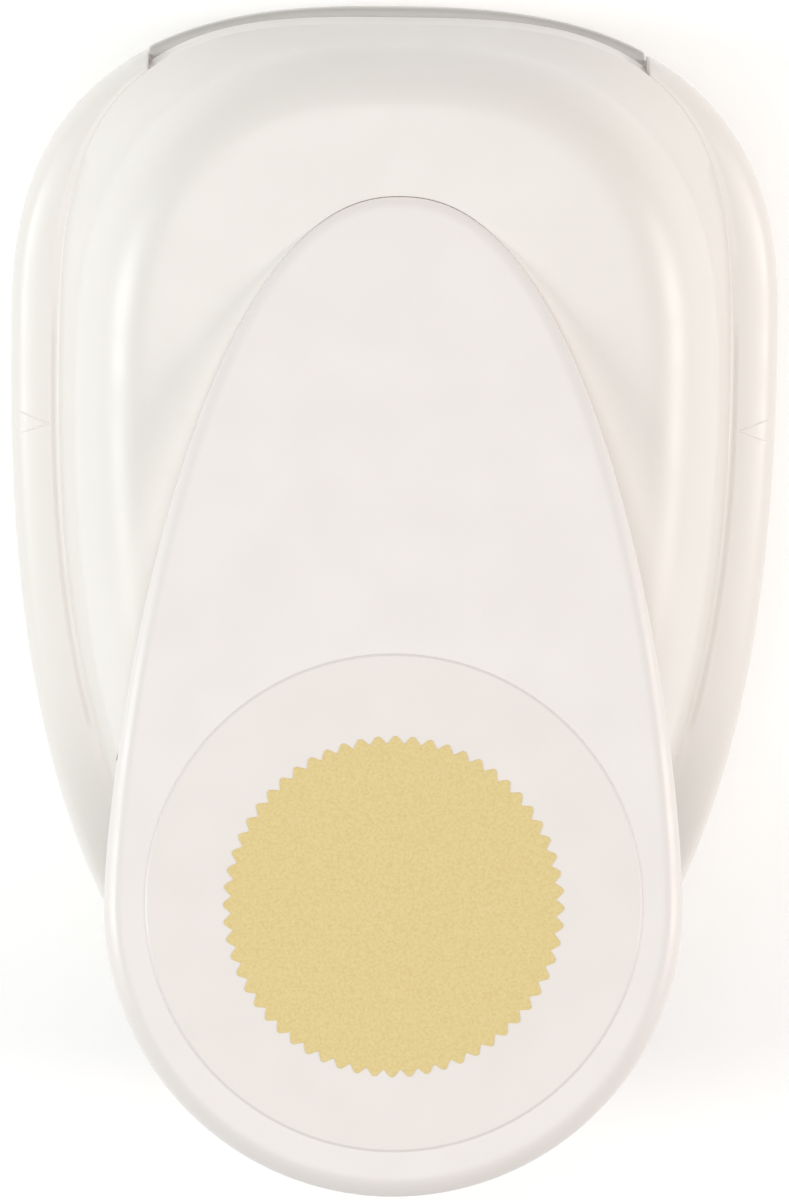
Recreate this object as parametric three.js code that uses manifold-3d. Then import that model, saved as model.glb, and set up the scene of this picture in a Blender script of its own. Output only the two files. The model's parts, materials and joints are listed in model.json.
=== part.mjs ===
// Palm-lever craft punch that cuts a disc with a toothed edge out of card.
// Millimetres, +Z up, +Y towards the throat where the card goes in, -Y towards the palm pad.
// The pieces are built about the punch axis, and the finished group is then centred on its footprint.

import * as THREE from 'three';
import { mergeVertices } from 'three/addons/utils/BufferGeometryUtils.js';
import Module from 'manifold-3d';

const wasm = await Module();
wasm.setup();

// Cut shape
const shapeAcross = 50;
const toothCount = 60;
const toothDepth = 1.15;
const toothTipShare = 0.24;

// Fits
const fitGap = 0.3;
const cutOverrun = 1;
const leafGap = 0.1;

// Card throat
const throatSideRoom = 1.95;
const railWidth = 4.5;
const slotHeight = 2;
const paperStopRoom = 3;
const stopWidth = 3;

// Housing walls and fixing posts
const wall = 2.2;
const floorThickness = 2.4;
const baseInset = 0.6;
const footEdgeRadius = 1.2;
const postDiameter = 6.4;
const postSideRoom = 0.25;

// Die and frame castings
const dieHeight = 9.6;
const dieLandHeight = 5;
const dieReliefGap = 1.2;
const lipThickness = 2.8;
const lipEdgeRadius = 0.8;
const frameThickness = 4;
const windowGap = 3;

// Punch and its springs
const punchLift = 1;
const punchEdgeHeight = 7;
const punchNeckHeight = 6.5;
const punchNeckInset = 4;
const stroke = 6;
const carrierThickness = 3;
const anvilHeight = 4.4;
const anvilDepth = 14;
const springWire = 0.7;
const springDiameter = 6.4;
const springRadialRoom = 6.2;
const springAngle = 50;
const springTurns = 5;
const pocketDepth = 1;
const earRim = 0.8;

// Pivot
const pivotRoom = 6.5;
const pivotPinDiameter = 4;
const pivotBossRadius = 4;
const uprightWidth = 4;
const uprightSideRoom = 1.5;
const clipThickness = 0.8;
const clipRim = 2;
const pinTail = 1;

// Lever arm
const armWidth = 16;
const armPlate = 1.5;
const armCheekPlate = 1.6;
const armCheekDrop = 1.2;
const armTailLength = 59;
const armTailDrop = 1;
const pressPinDiameter = 6.4;
const pressPinTail = 1.4;
const pressPinRoom = 0.17;

// Lever cap and palm pad
const leverSlope = 8;
const capWall = 2.4;
const capSeatHeight = 1.2;
const capSkirtDepth = 12;
const capEdgeRadius = 1.4;
const capDraft = 0.5;
const capScrewCover = 0.75;
const capArmRoom = 0.6;
const armMouth = 8.4;
const capRibThickness = 1.5;
const capRibHeight = 3;
const capRibSpread = 5;
const noseSetback = 5.9;
const padRadius = 30.6;
const padDistance = 81;
const leverSideExponent = 1.52;
const leverNoseExponent = 2.23;
const discRim = 4.3;
const discForward = 0.45;
const discThickness = 0.8;
const discRecess = 0.9;
const labelAcross = 36;
const labelBehindDisc = 0.4;
const labelThickness = 0.25;

// Body outline seen from above
const domeFrontRoom = 10.5;
const lipDepth = 2.75;
const tailBehindStop = 42.2;
const widestAhead = 9.8;
const bodyFrontExponent = 2.66;
const bodyRearExponent = 2.37;

// Band and dome of the upper housing
const domeSideInset = 7;
const domeRearInset = 11.2;
const domeWidestAhead = 6;
const domeFrontExponent = 2.6;
const domeRearExponent = 2.3;
const partingGap = 0.4;
const bandSideHeight = 4.9;
const bandHeight = 8.9;
const grooveDepth = 0.8;
const grooveFadeFront = 20;
const grooveFadeLength = 14;
const grooveEndBehind = 33;
const domeFootFlare = 1.6;
const domeFootFrontExponent = 3.1;
const filletHeight = 0.8;
const creaseHeight = 18.7;
const shoulderSideRun = 9.2;
const shoulderFrontRun = 6.8;
const crownHeight = 1.5;
const noseSink = 0.7;
const archGap = 0.6;
const rimHeight = 13;
const markWidth = 0.4;
const markDepth = 0.3;
const markAngle = 20;
const markClearance = 0.6;

// Screws
const screwDiameter = 3;
const screwHeadDiameter = 5.6;
const screwHeadHeight = 1.9;
const smallScrewDiameter = 2.4;
const smallScrewHeadDiameter = 4.6;
const smallScrewHeadHeight = 1.5;
const threadGap = 0.15;
const threadRoom = 0.6;
const dieScrewBite = 3;
const coverScrewBite = 4.2;
const housingScrewSeat = 5;
const frontPostAhead = 10;
const rearPostSide = 20;
const rearPostBehind = 50;
const frontDieScrewAhead = 16;
const rearDieScrewBehind = 24;
const carrierScrewSide = 12;
const carrierScrewBite = 4;

// Facets
const outlineSteps = 64;
const leverSideSteps = 16;
const padSteps = 28;
const roundSteps = 12;
const wideRoundSteps = 48;
const shoulderSteps = 5;
const curlSteps = 8;
const curlSides = 5;

// Shares of a rounded edge's radius, of the way from the body's outline to the dome's foot, and of the crown
const cornerShare = 1 - Math.SQRT1_2;
const crestShares = [[0.05, 0.4], [0.2, 0.66], [0.45, 0.84], [0.78, 1]];
const grooveFloorShare = 0.83;
const grooveToeShare = 0.93;
const crownShares = [0.3, 0.7];

// Sizes worked out from the ones above
const shapeRadius = shapeAcross / 2;
const throatHalf = shapeRadius + throatSideRoom;
const plateHalf = throatHalf + railWidth;
const stopBehind = shapeRadius + paperStopRoom;
const plateBehind = stopBehind + stopWidth;
const dieBottom = floorThickness;
const dieTop = dieBottom + dieHeight;
const frameBottom = dieTop + slotHeight;
const frameTop = frameBottom + frameThickness;
const punchBottom = frameBottom + punchLift;
const neckBottom = punchBottom + punchEdgeHeight;
const carrierBottom = neckBottom + punchNeckHeight;
const carrierTop = carrierBottom + carrierThickness;
const anvilTop = carrierTop + anvilHeight;
const pressPinRadius = pressPinDiameter / 2;
const pressPinZ = anvilTop + fitGap + pressPinRadius;
const pivotAhead = shapeRadius + pivotRoom;
const pivotZ = pressPinZ - stroke / 2;
const pivotPinRadius = pivotPinDiameter / 2;
const armHalf = armWidth / 2;
const uprightInside = armHalf + uprightSideRoom;
const uprightOutside = uprightInside + uprightWidth;
const slopeAngle = THREE.MathUtils.degToRad(leverSlope);

const baseRim = frameBottom - partingGap / 2;
const coverBottom = baseRim + partingGap;
const bandTop = coverBottom + bandHeight;
const creaseZ = coverBottom + creaseHeight;

// The lever's own frame starts at the pivot: u runs forward along its top plane, w is square to it.
const pressPinU = -pivotAhead * Math.cos(slopeAngle) - (pressPinZ - pivotZ) * Math.sin(slopeAngle);
const pressPinW = -pivotAhead * Math.sin(slopeAngle) + (pressPinZ - pivotZ) * Math.cos(slopeAngle);
const armWebBottom = pressPinW + pressPinRadius + pressPinRoom;
const armWebTop = armWebBottom + armPlate;
const capCeiling = armWebTop + capSeatHeight;
const capTop = capCeiling + capWall;
const capBottom = capTop - capSkirtDepth;
const capArmHalf = armHalf + capArmRoom;
const discRadius = padRadius - discRim;
const discY = discForward - padDistance;
const labelY = discY - labelBehindDisc;
const discBottom = capTop - discRecess + leafGap;

function leverPoint(u, w) {
  const y = pivotAhead + u * Math.cos(slopeAngle) + w * Math.sin(slopeAngle);
  const z = pivotZ - u * Math.sin(slopeAngle) + w * Math.cos(slopeAngle);
  return { y, z };
}

const domeTop = leverPoint(-noseSetback, capTop).z + noseSink;

const bodyHalf = plateHalf + 2 * fitGap + postDiameter + postSideRoom + wall + baseInset;
const domeFront = pivotAhead + domeFrontRoom;
const bodyEgg = {
  half: bodyHalf,
  front: domeFront + lipDepth,
  rear: plateBehind + tailBehindStop,
  widest: widestAhead,
  frontExponent: bodyFrontExponent,
  rearExponent: bodyRearExponent,
};
const creaseEgg = {
  half: bodyHalf - domeSideInset,
  front: domeFront,
  rear: bodyEgg.rear - domeRearInset,
  widest: domeWidestAhead,
  frontExponent: domeFrontExponent,
  rearExponent: domeRearExponent,
};
// The dome's foot stands out past its crease, and is squarer in front, where it follows the lip.
const footEgg = {
  half: creaseEgg.half + domeFootFlare,
  front: creaseEgg.front + domeFootFlare,
  rear: creaseEgg.rear + domeFootFlare,
  widest: domeWidestAhead,
  frontExponent: domeFootFrontExponent,
  rearExponent: domeRearExponent,
};

// Outlines

function eggPoint(egg, angle, sideInset = 0, endInset = sideInset) {
  const side = Math.cos(angle);
  const end = Math.sin(angle);
  const ahead = end >= 0;
  const exponent = ahead ? egg.frontExponent : egg.rearExponent;
  const reach = ahead ? egg.front - egg.widest : egg.rear + egg.widest;
  const x = Math.sign(side) * Math.abs(side) ** (2 / exponent) * (egg.half - sideInset);
  const y = Math.sign(end) * Math.abs(end) ** (2 / exponent) * (reach - endInset);
  return new THREE.Vector2(x, egg.widest + y);
}

function eggOutline(egg, sideInset = 0, endInset = sideInset) {
  const points = [];
  for (let i = 0; i < outlineSteps; i += 1) {
    const angle = (i / outlineSteps) * 2 * Math.PI;
    points.push(eggPoint(egg, angle, sideInset, endInset));
  }
  return points;
}

// Moves a closed anticlockwise outline inwards by a distance, square to its own edge.
function insetOutline(points, distance) {
  return points.map((point, i) => {
    const before = points[(i + points.length - 1) % points.length];
    const after = points[(i + 1) % points.length];
    const along = after.clone().sub(before).normalize();
    return new THREE.Vector2(point.x - along.y * distance, point.y + along.x * distance);
  });
}

// Teeth with small flat tips, so that each is a blunt point.
function toothedOutline(tipRadius, depth) {
  const points = [];
  const pitch = (2 * Math.PI) / toothCount;
  const corners = [
    [-toothTipShare / 2, tipRadius],
    [toothTipShare / 2, tipRadius],
    [1 / 2, tipRadius - depth],
  ];
  for (let i = 0; i < toothCount; i += 1) {
    for (const [turn, radius] of corners) {
      const angle = (i + turn) * pitch;
      points.push(new THREE.Vector2(radius * Math.cos(angle), radius * Math.sin(angle)));
    }
  }
  return points;
}

// The lever from above: a round pad whose sides run forward and close in a blunt nose.
function leverOutline() {
  const length = padDistance - noseSetback;
  const right = [];
  for (let i = 0; i <= leverSideSteps; i += 1) {
    const angle = ((i / leverSideSteps) * Math.PI) / 2;
    const along = Math.sin(angle) ** (2 / leverSideExponent);
    const across = Math.max(Math.cos(angle), 0) ** (2 / leverNoseExponent);
    right.push(new THREE.Vector2(padRadius * across, length * along - padDistance));
  }
  const left = right.slice(0, -1).reverse().map((point) => new THREE.Vector2(-point.x, point.y));
  const back = [];
  for (let i = 1; i < padSteps; i += 1) {
    const angle = Math.PI * (1 + i / padSteps);
    back.push(new THREE.Vector2(padRadius * Math.cos(angle), padRadius * Math.sin(angle) - padDistance));
  }
  return [...right, ...left, ...back];
}

function atHeight(points, z) {
  return points.map((point) => new THREE.Vector3(point.x, point.y, z));
}

// Solids

function solidFrom(geometry) {
  const bare = geometry.index ? geometry : geometry.clone();
  bare.deleteAttribute('normal');
  bare.deleteAttribute('uv');
  const merged = mergeVertices(bare);
  const mesh = new wasm.Mesh({
    numProp: 3,
    vertProperties: new Float32Array(merged.attributes.position.array),
    triVerts: new Uint32Array(merged.index.array),
  });
  mesh.merge();
  return new wasm.Manifold(mesh);
}

function geometryFrom(solid) {
  const mesh = solid.getMesh();
  const geometry = new THREE.BufferGeometry();
  geometry.setAttribute('position', new THREE.BufferAttribute(mesh.vertProperties, 3));
  geometry.setIndex(new THREE.BufferAttribute(mesh.triVerts, 1));
  return geometry;
}

// Closed skin over a stack of rings with equal point counts, lowest ring first.
function loftGeometry(rings) {
  const count = rings[0].length;
  const vertices = rings.flat();
  const faces = [];
  for (let level = 0; level < rings.length - 1; level += 1) {
    for (let i = 0; i < count; i += 1) {
      const a = level * count + i;
      const b = level * count + ((i + 1) % count);
      faces.push(a, b, b + count, a, b + count, a + count);
    }
  }
  for (const [ring, upward] of [[rings[0], false], [rings[rings.length - 1], true]]) {
    const centre = ring.reduce((sum, point) => sum.add(point), new THREE.Vector3()).divideScalar(count);
    const hub = vertices.push(centre) - 1;
    const first = upward ? (rings.length - 1) * count : 0;
    for (let i = 0; i < count; i += 1) {
      const a = first + i;
      const b = first + ((i + 1) % count);
      faces.push(hub, upward ? a : b, upward ? b : a);
    }
  }
  const geometry = new THREE.BufferGeometry().setFromPoints(vertices);
  geometry.setIndex(faces);
  return geometry;
}

function loft(rings) {
  return solidFrom(loftGeometry(rings));
}

function prism(points, low, high) {
  const shape = new THREE.Shape(points);
  const geometry = new THREE.ExtrudeGeometry(shape, { depth: high - low, bevelEnabled: false });
  geometry.translate(0, 0, low);
  return solidFrom(geometry);
}

function post(radius, low, high, x = 0, y = 0) {
  const steps = radius > shapeRadius / 2 ? wideRoundSteps : roundSteps;
  const geometry = new THREE.CylinderGeometry(radius, radius, high - low, steps);
  geometry.rotateX(Math.PI / 2);
  geometry.translate(x, y, (low + high) / 2);
  return solidFrom(geometry);
}

function crossPin(radius, halfLength, y, z) {
  const geometry = new THREE.CylinderGeometry(radius, radius, 2 * halfLength, roundSteps);
  geometry.rotateZ(Math.PI / 2);
  geometry.translate(0, y, z);
  return solidFrom(geometry);
}

function block(x0, x1, y0, y1, z0, z1) {
  const geometry = new THREE.BoxGeometry(x1 - x0, y1 - y0, z1 - z0);
  geometry.translate((x0 + x1) / 2, (y0 + y1) / 2, (z0 + z1) / 2);
  return solidFrom(geometry);
}

// Far corner of cuts that only need to reach past the whole object.
const beyond = 2 * (bodyEgg.front + bodyEgg.rear);

// Places shared by pieces that fasten together

const sides = [-1, 1];
const dieScrewSide = throatHalf + railWidth / 2;
const dieScrewPlaces = [];
for (const side of sides) {
  dieScrewPlaces.push([side * dieScrewSide, frontDieScrewAhead]);
  dieScrewPlaces.push([side * dieScrewSide, -rearDieScrewBehind]);
}

const frontPostSide = plateHalf + fitGap + postDiameter / 2;
const housingScrewPlaces = [];
for (const side of sides) {
  housingScrewPlaces.push([side * frontPostSide, frontPostAhead]);
  housingScrewPlaces.push([side * rearPostSide, -rearPostBehind]);
}

const springReach = shapeRadius + springRadialRoom;
const pocketRadius = springDiameter / 2 + fitGap;
const springPlaces = [];
for (const side of sides) {
  for (const end of sides) {
    const angle = THREE.MathUtils.degToRad(springAngle);
    springPlaces.push([side * springReach * Math.cos(angle), end * springReach * Math.sin(angle)]);
  }
}

const carrierScrewPlaces = sides.map((side) => [side * carrierScrewSide, 0]);
const armTail = -(pivotAhead + armTailLength);
const leverScrewPlaces = [
  pressPinU + (pressPinRadius + smallScrewHeadDiameter),
  (pressPinU + armTail) / 2,
  armTail + smallScrewHeadDiameter,
];

// Lower housing: a tray with a round window under the die and a cut-away front for the die's lip

function baseOutline(inset) {
  return insetOutline(eggOutline(bodyEgg), baseInset + inset);
}

function baseHousing() {
  const soft = cornerShare * footEdgeRadius;
  let solid = loft([
    atHeight(baseOutline(footEdgeRadius), 0),
    atHeight(baseOutline(soft), soft),
    atHeight(baseOutline(0), footEdgeRadius),
    atHeight(baseOutline(0), baseRim),
  ]);
  solid = solid.subtract(prism(baseOutline(wall), floorThickness, baseRim + cutOverrun));
  for (const [x, y] of housingScrewPlaces) {
    solid = solid.add(post(postDiameter / 2, floorThickness / 2, baseRim, x, y));
  }
  for (const [x, y] of housingScrewPlaces) {
    const headHole = screwHeadDiameter / 2 + fitGap / 2;
    solid = solid.subtract(post(headHole, -cutOverrun, housingScrewSeat, x, y));
    solid = solid.subtract(post(screwDiameter / 2 + threadGap, 0, baseRim + cutOverrun, x, y));
  }
  solid = solid.subtract(post(shapeRadius + windowGap, -cutOverrun, floorThickness + cutOverrun));
  for (const [x, y] of dieScrewPlaces) {
    solid = solid.subtract(post(screwDiameter / 2 + fitGap, -cutOverrun, dieTop, x, y));
    const headHole = screwHeadDiameter / 2 + fitGap / 2;
    solid = solid.subtract(post(headHole, -cutOverrun, floorThickness / 2, x, y));
  }
  const notchBottom = dieTop - lipThickness - fitGap;
  return solid.subtract(block(-throatHalf, throatHalf, 0, beyond, notchBottom, baseRim + cutOverrun));
}

// Die and frame castings share one plan: straight sides, a straight back and a front that follows a curve

function platePlan(outline, low, high) {
  const sidesAndBack = block(-plateHalf, plateHalf, -plateBehind, beyond, low, high);
  return prism(outline, low, high).intersect(sidesAndBack);
}

function insideBase() {
  return baseOutline(wall + fitGap);
}

function insideDome() {
  return insetOutline(eggOutline(footEgg), wall + fitGap);
}

function dieBlock() {
  const lipBottom = dieTop - lipThickness;
  const front = eggOutline(bodyEgg);
  const soft = cornerShare * lipEdgeRadius;
  const lip = loft([
    atHeight(insetOutline(front, lipEdgeRadius / 2), lipBottom),
    atHeight(front, lipBottom + lipEdgeRadius / 2),
    atHeight(front, dieTop - lipEdgeRadius),
    atHeight(insetOutline(front, soft), dieTop - soft),
    atHeight(insetOutline(front, lipEdgeRadius), dieTop),
  ]);
  const lipHalf = throatHalf - fitGap;
  let solid = platePlan(insideBase(), dieBottom, dieTop);
  solid = solid.add(lip.intersect(block(-lipHalf, lipHalf, 0, beyond, lipBottom, dieTop)));
  solid = solid.subtract(prism(toothedOutline(shapeRadius, toothDepth), dieBottom, dieTop + cutOverrun));
  const relief = shapeRadius + dieReliefGap;
  solid = solid.subtract(post(relief, dieBottom - cutOverrun, dieTop - dieLandHeight));
  for (const [x, y] of dieScrewPlaces) {
    solid = solid.subtract(post(screwDiameter / 2 + fitGap, 0, dieTop + cutOverrun, x, y));
  }
  return solid;
}

function slotSpacer() {
  let solid = platePlan(insideBase(), dieTop, frameBottom);
  const over = frameBottom + cutOverrun;
  solid = solid.subtract(block(-throatHalf, throatHalf, -stopBehind, beyond, dieTop - cutOverrun, over));
  for (const [x, y] of dieScrewPlaces) {
    solid = solid.subtract(post(screwDiameter / 2 + fitGap, 0, over, x, y));
  }
  return solid;
}

function upperFrame() {
  let solid = platePlan(insideDome(), frameBottom, frameTop);
  for (const side of sides) {
    const inner = side * uprightInside;
    const outer = side * uprightOutside;
    const low = Math.min(inner, outer);
    const high = Math.max(inner, outer);
    const back = pivotAhead - pivotBossRadius;
    const front = pivotAhead + pivotBossRadius;
    solid = solid.add(block(low, high, back, front, frameTop - cutOverrun, pivotZ));
    const slice = block(low, high, back, front, pivotZ - pivotBossRadius, pivotZ + pivotBossRadius);
    solid = solid.add(crossPin(pivotBossRadius, uprightOutside, pivotAhead, pivotZ).intersect(slice));
  }
  solid = solid.subtract(crossPin(pivotPinRadius + fitGap, beyond, pivotAhead, pivotZ));
  const cut = toothedOutline(shapeRadius, toothDepth);
  solid = solid.subtract(prism(cut, frameBottom - cutOverrun, frameTop + cutOverrun));
  for (const [x, y] of dieScrewPlaces) {
    const bite = frameBottom + dieScrewBite + threadRoom;
    solid = solid.subtract(post(screwDiameter / 2 + threadGap, 0, bite, x, y));
  }
  for (const [x, y] of springPlaces) {
    solid = solid.subtract(post(pocketRadius, frameTop - pocketDepth, frameTop + cutOverrun, x, y));
  }
  return solid;
}

// Punch: toothed edge below, round neck above, two blind tapped holes for the carrier's screws

function punch() {
  const neckRadius = shapeRadius - punchNeckInset;
  let solid = prism(toothedOutline(shapeRadius - fitGap, toothDepth), punchBottom, neckBottom);
  solid = solid.add(post(neckRadius, neckBottom - cutOverrun, carrierBottom));
  for (const [x, y] of carrierScrewPlaces) {
    const depth = carrierBottom - carrierScrewBite - threadRoom;
    solid = solid.subtract(post(screwDiameter / 2 + threadGap, depth, carrierBottom + cutOverrun, x, y));
  }
  return solid;
}

function punchCarrier() {
  let solid = post(shapeRadius - punchNeckInset, carrierBottom, carrierTop);
  const earRadius = pocketRadius + earRim;
  for (const [x, y] of springPlaces) {
    const bar = new THREE.BoxGeometry(springReach, 2 * earRadius, carrierThickness);
    bar.translate(springReach / 2, 0, 0);
    bar.rotateZ(Math.atan2(y, x));
    bar.translate(0, 0, (carrierBottom + carrierTop) / 2);
    solid = solid.add(solidFrom(bar));
    solid = solid.add(post(earRadius, carrierBottom, carrierTop, x, y));
  }
  const halfWidth = armHalf - armCheekPlate - 2 * fitGap;
  const halfDepth = anvilDepth / 2;
  solid = solid.add(block(-halfWidth, halfWidth, -halfDepth, halfDepth, carrierTop - cutOverrun, anvilTop));
  for (const [x, y] of springPlaces) {
    solid = solid.subtract(post(pocketRadius, carrierBottom - cutOverrun, carrierBottom + pocketDepth, x, y));
  }
  for (const [x, y] of carrierScrewPlaces) {
    solid = solid.subtract(post(screwDiameter / 2 + fitGap, 0, carrierTop + cutOverrun, x, y));
  }
  return solid;
}

// Compression spring from its pocket in the frame to its pocket in the carrier, as one tube along a helix
function springGeometry() {
  const wireRadius = springWire / 2;
  const coilRadius = springDiameter / 2 - wireRadius;
  const low = frameTop - pocketDepth + fitGap + wireRadius;
  const high = carrierBottom + pocketDepth - fitGap - wireRadius;
  const steps = springTurns * curlSteps;
  const centres = [];
  const rings = [];
  for (let i = 0; i <= steps; i += 1) {
    const angle = (i / curlSteps) * 2 * Math.PI;
    const z = low + ((high - low) * i) / steps;
    const centre = new THREE.Vector3(coilRadius * Math.cos(angle), coilRadius * Math.sin(angle), z);
    const outward = new THREE.Vector3(Math.cos(angle), Math.sin(angle), 0);
    centres.push(centre);
    const ring = [];
    for (let side = 0; side < curlSides; side += 1) {
      const turn = (side / curlSides) * 2 * Math.PI;
      const point = centre.clone().addScaledVector(outward, wireRadius * Math.cos(turn));
      point.z += wireRadius * Math.sin(turn);
      ring.push(point);
    }
    rings.push(ring.reverse());
  }
  const leastGap = leastTurnGap(centres, curlSteps) - springWire;
  console.log(`least gap between turns of a return spring: ${leastGap.toFixed(2)} mm`);
  return loftGeometry(rings);
}

function leastTurnGap(centres, turnSteps) {
  let least = Infinity;
  for (let i = 0; i < centres.length; i += 1) {
    for (let j = i + turnSteps / 2; j < centres.length; j += 1) {
      least = Math.min(least, centres[i].distanceTo(centres[j]));
    }
  }
  return least;
}

// Pivot pin and the two clips that hold it

const pivotPinHalf = uprightOutside + fitGap + clipThickness + pinTail;

function pivotClip() {
  const low = uprightOutside + fitGap / 2;
  const ring = post(pivotPinRadius + fitGap / 2 + clipRim, low, low + clipThickness);
  const over = low + clipThickness + cutOverrun;
  const bore = post(pivotPinRadius + fitGap / 2, low - cutOverrun, over);
  const mouth = block(-pivotPinRadius, pivotPinRadius, 0, beyond, low - cutOverrun, over);
  return ring.subtract(bore).subtract(mouth);
}

// Lever arm, in the lever's frame: a folded channel with two cheeks under a flat web

function armCheek() {
  const bottom = pressPinW - pressPinRadius - fitGap - armCheekDrop;
  const heel = pressPinU - pressPinRadius;
  const rearBottom = armWebBottom - armTailDrop;
  const side = new THREE.Shape();
  side.absarc(0, 0, pivotBossRadius, -Math.PI / 2, Math.PI / 2, false);
  side.lineTo(-noseSetback - pivotBossRadius, armWebTop);
  side.lineTo(armTail, armWebTop);
  side.lineTo(armTail, rearBottom);
  side.quadraticCurveTo((armTail + heel) / 2, bottom, heel, bottom);
  side.lineTo(pressPinU + pressPinDiameter, bottom);
  return side;
}

function leverArm() {
  const cheekGeometry = new THREE.ExtrudeGeometry(armCheek(), {
    depth: armCheekPlate,
    bevelEnabled: false,
    curveSegments: roundSteps / 2,
  });
  cheekGeometry.rotateY(Math.PI / 2);
  cheekGeometry.rotateX(Math.PI / 2);
  const cheek = solidFrom(cheekGeometry);
  const front = -noseSetback - pivotBossRadius;
  let solid = cheek.translate([armHalf - armCheekPlate, 0, 0]).add(cheek.translate([-armHalf, 0, 0]));
  solid = solid.add(block(-armHalf, armHalf, armTail, front, armWebBottom, armWebTop));
  solid = solid.subtract(crossPin(pivotPinRadius + fitGap, beyond, 0, 0));
  solid = solid.subtract(crossPin(pressPinRadius + fitGap / 2, beyond, pressPinU, pressPinW));
  const screwHole = smallScrewDiameter / 2 + fitGap;
  for (const y of leverScrewPlaces) {
    solid = solid.subtract(post(screwHole, armWebBottom - cutOverrun, armWebTop + cutOverrun, 0, y));
  }
  return solid;
}

// Lever cap, in the lever's frame: a thin shell with a rounded top edge and a shallow seat for the disc

function leverCap() {
  const outline = leverOutline();
  const soft = cornerShare * capEdgeRadius;
  let solid = loft([
    atHeight(insetOutline(outline, capDraft), capBottom),
    atHeight(outline, capTop - capEdgeRadius),
    atHeight(insetOutline(outline, soft), capTop - soft),
    atHeight(insetOutline(outline, capEdgeRadius), capTop),
  ]);
  solid = solid.subtract(prism(insetOutline(outline, wall + capDraft), capBottom - cutOverrun, capCeiling));
  const bossRadius = smallScrewHeadDiameter / 2 + fitGap;
  for (const y of leverScrewPlaces) {
    solid = solid.add(post(bossRadius, armWebTop + fitGap, capCeiling + cutOverrun, 0, y));
  }
  for (const offset of [-capRibSpread, capRibSpread]) {
    const y = offset - padDistance;
    const reach = padRadius - wall;
    const ribBottom = capCeiling - capRibHeight;
    const rib = block(-reach, reach, y, y + capRibThickness, ribBottom, capCeiling + cutOverrun);
    const armRoom = block(-capArmHalf, capArmHalf, -beyond, beyond, capBottom, capCeiling);
    solid = solid.add(rib.subtract(armRoom));
  }
  const mouthBack = -armMouth - noseSetback;
  const mouthTop = armWebTop + fitGap;
  solid = solid.subtract(block(-capArmHalf, capArmHalf, mouthBack, 0, capBottom - cutOverrun, mouthTop));
  const threadRadius = smallScrewDiameter / 2 + threadGap;
  for (const y of leverScrewPlaces) {
    solid = solid.subtract(post(threadRadius, armWebTop, capTop - capScrewCover, 0, y));
  }
  const seat = post(discRadius + fitGap / 2, capTop - discRecess, capTop + cutOverrun, 0, discY);
  return solid.subtract(seat);
}

function labelDisc() {
  return post(discRadius, discBottom, discBottom + discThickness - 2 * leafGap, 0, discY);
}

function goldLabel() {
  const low = discBottom + discThickness - leafGap;
  const depth = (toothDepth * labelAcross) / shapeAcross;
  return prism(toothedOutline(labelAcross / 2, depth), low, low + labelThickness).translate([0, labelY, 0]);
}

// Upper housing: one skin from the band's foot over the band, its side groove, the dome and the crown

function grooveAt(point) {
  const fade = THREE.MathUtils.smoothstep(grooveFadeFront - point.y, 0, grooveFadeLength);
  const inRange = point.y > -grooveEndBehind ? 1 : 0;
  return grooveDepth * fade * inRange;
}

function coverRings() {
  const body = eggOutline(bodyEgg);
  const foot = eggOutline(footEgg);
  const crease = eggOutline(creaseEgg);
  const between = (share) => body.map((point, i) => point.clone().lerp(foot[i], share));
  const bandSide = coverBottom + bandSideHeight;
  const rise = bandTop - bandSide;
  const rings = [
    atHeight(insetOutline(body, partingGap), coverBottom),
    atHeight(body, coverBottom + partingGap),
    atHeight(body, bandSide),
    ...crestShares.map(([across, up]) => atHeight(between(across), bandSide + up * rise)),
  ];
  const floor = between(grooveFloorShare);
  rings.push(floor.map((point) => new THREE.Vector3(point.x, point.y, bandTop - grooveAt(point))));
  const toe = between(grooveToeShare);
  rings.push(toe.map((point) => new THREE.Vector3(point.x, point.y, bandTop - grooveAt(point) / 2)));
  rings.push(atHeight(foot, bandTop + filletHeight));
  rings.push(atHeight(crease, creaseZ));
  const shoulderRise = domeTop - crownHeight - creaseZ;
  for (let i = 1; i <= shoulderSteps; i += 1) {
    const angle = ((i / shoulderSteps) * Math.PI) / 2;
    const run = 1 - Math.cos(angle);
    const ring = eggOutline(creaseEgg, shoulderSideRun * run, shoulderFrontRun * run);
    rings.push(atHeight(ring, creaseZ + shoulderRise * Math.sin(angle)));
  }
  for (const share of crownShares) {
    const halfInset = shoulderSideRun + (creaseEgg.half - shoulderSideRun) * share;
    const endInset = shoulderFrontRun + (creaseEgg.front - creaseEgg.widest - shoulderFrontRun) * share;
    const z = domeTop - crownHeight * (1 - share) ** 2;
    rings.push(atHeight(eggOutline(creaseEgg, halfInset, endInset), z));
  }
  return rings;
}

// The hollow under the dome, one wall inside it, open downwards
function domeHollow() {
  const rings = [
    atHeight(eggOutline(footEgg, wall), coverBottom - cutOverrun),
    atHeight(eggOutline(footEgg, wall), bandTop),
    atHeight(eggOutline(creaseEgg, wall), creaseZ - wall / 2),
  ];
  const ceiling = domeTop - crownHeight - wall;
  const low = creaseZ - wall / 2;
  for (let i = 1; i <= shoulderSteps - 1; i += 1) {
    const angle = ((i / (shoulderSteps - 1)) * Math.PI) / 2;
    const run = 1 - Math.cos(angle);
    const sideRun = (shoulderSideRun - wall / 2) * run;
    const frontRun = (shoulderFrontRun - wall / 2) * run;
    const z = low + (ceiling - low) * Math.sin(angle);
    rings.push(atHeight(eggOutline(creaseEgg, wall + sideRun, wall + frontRun), z));
  }
  return loft(rings);
}

// Everything under the arch opening, seen from above, one gap wider than the lever
function archOpening(low) {
  const outline = insetOutline(leverOutline(), -archGap);
  const points = outline.map((point) => new THREE.Vector2(point.x, leverPoint(point.y, capTop).y));
  return prism(points, low, beyond);
}

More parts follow.
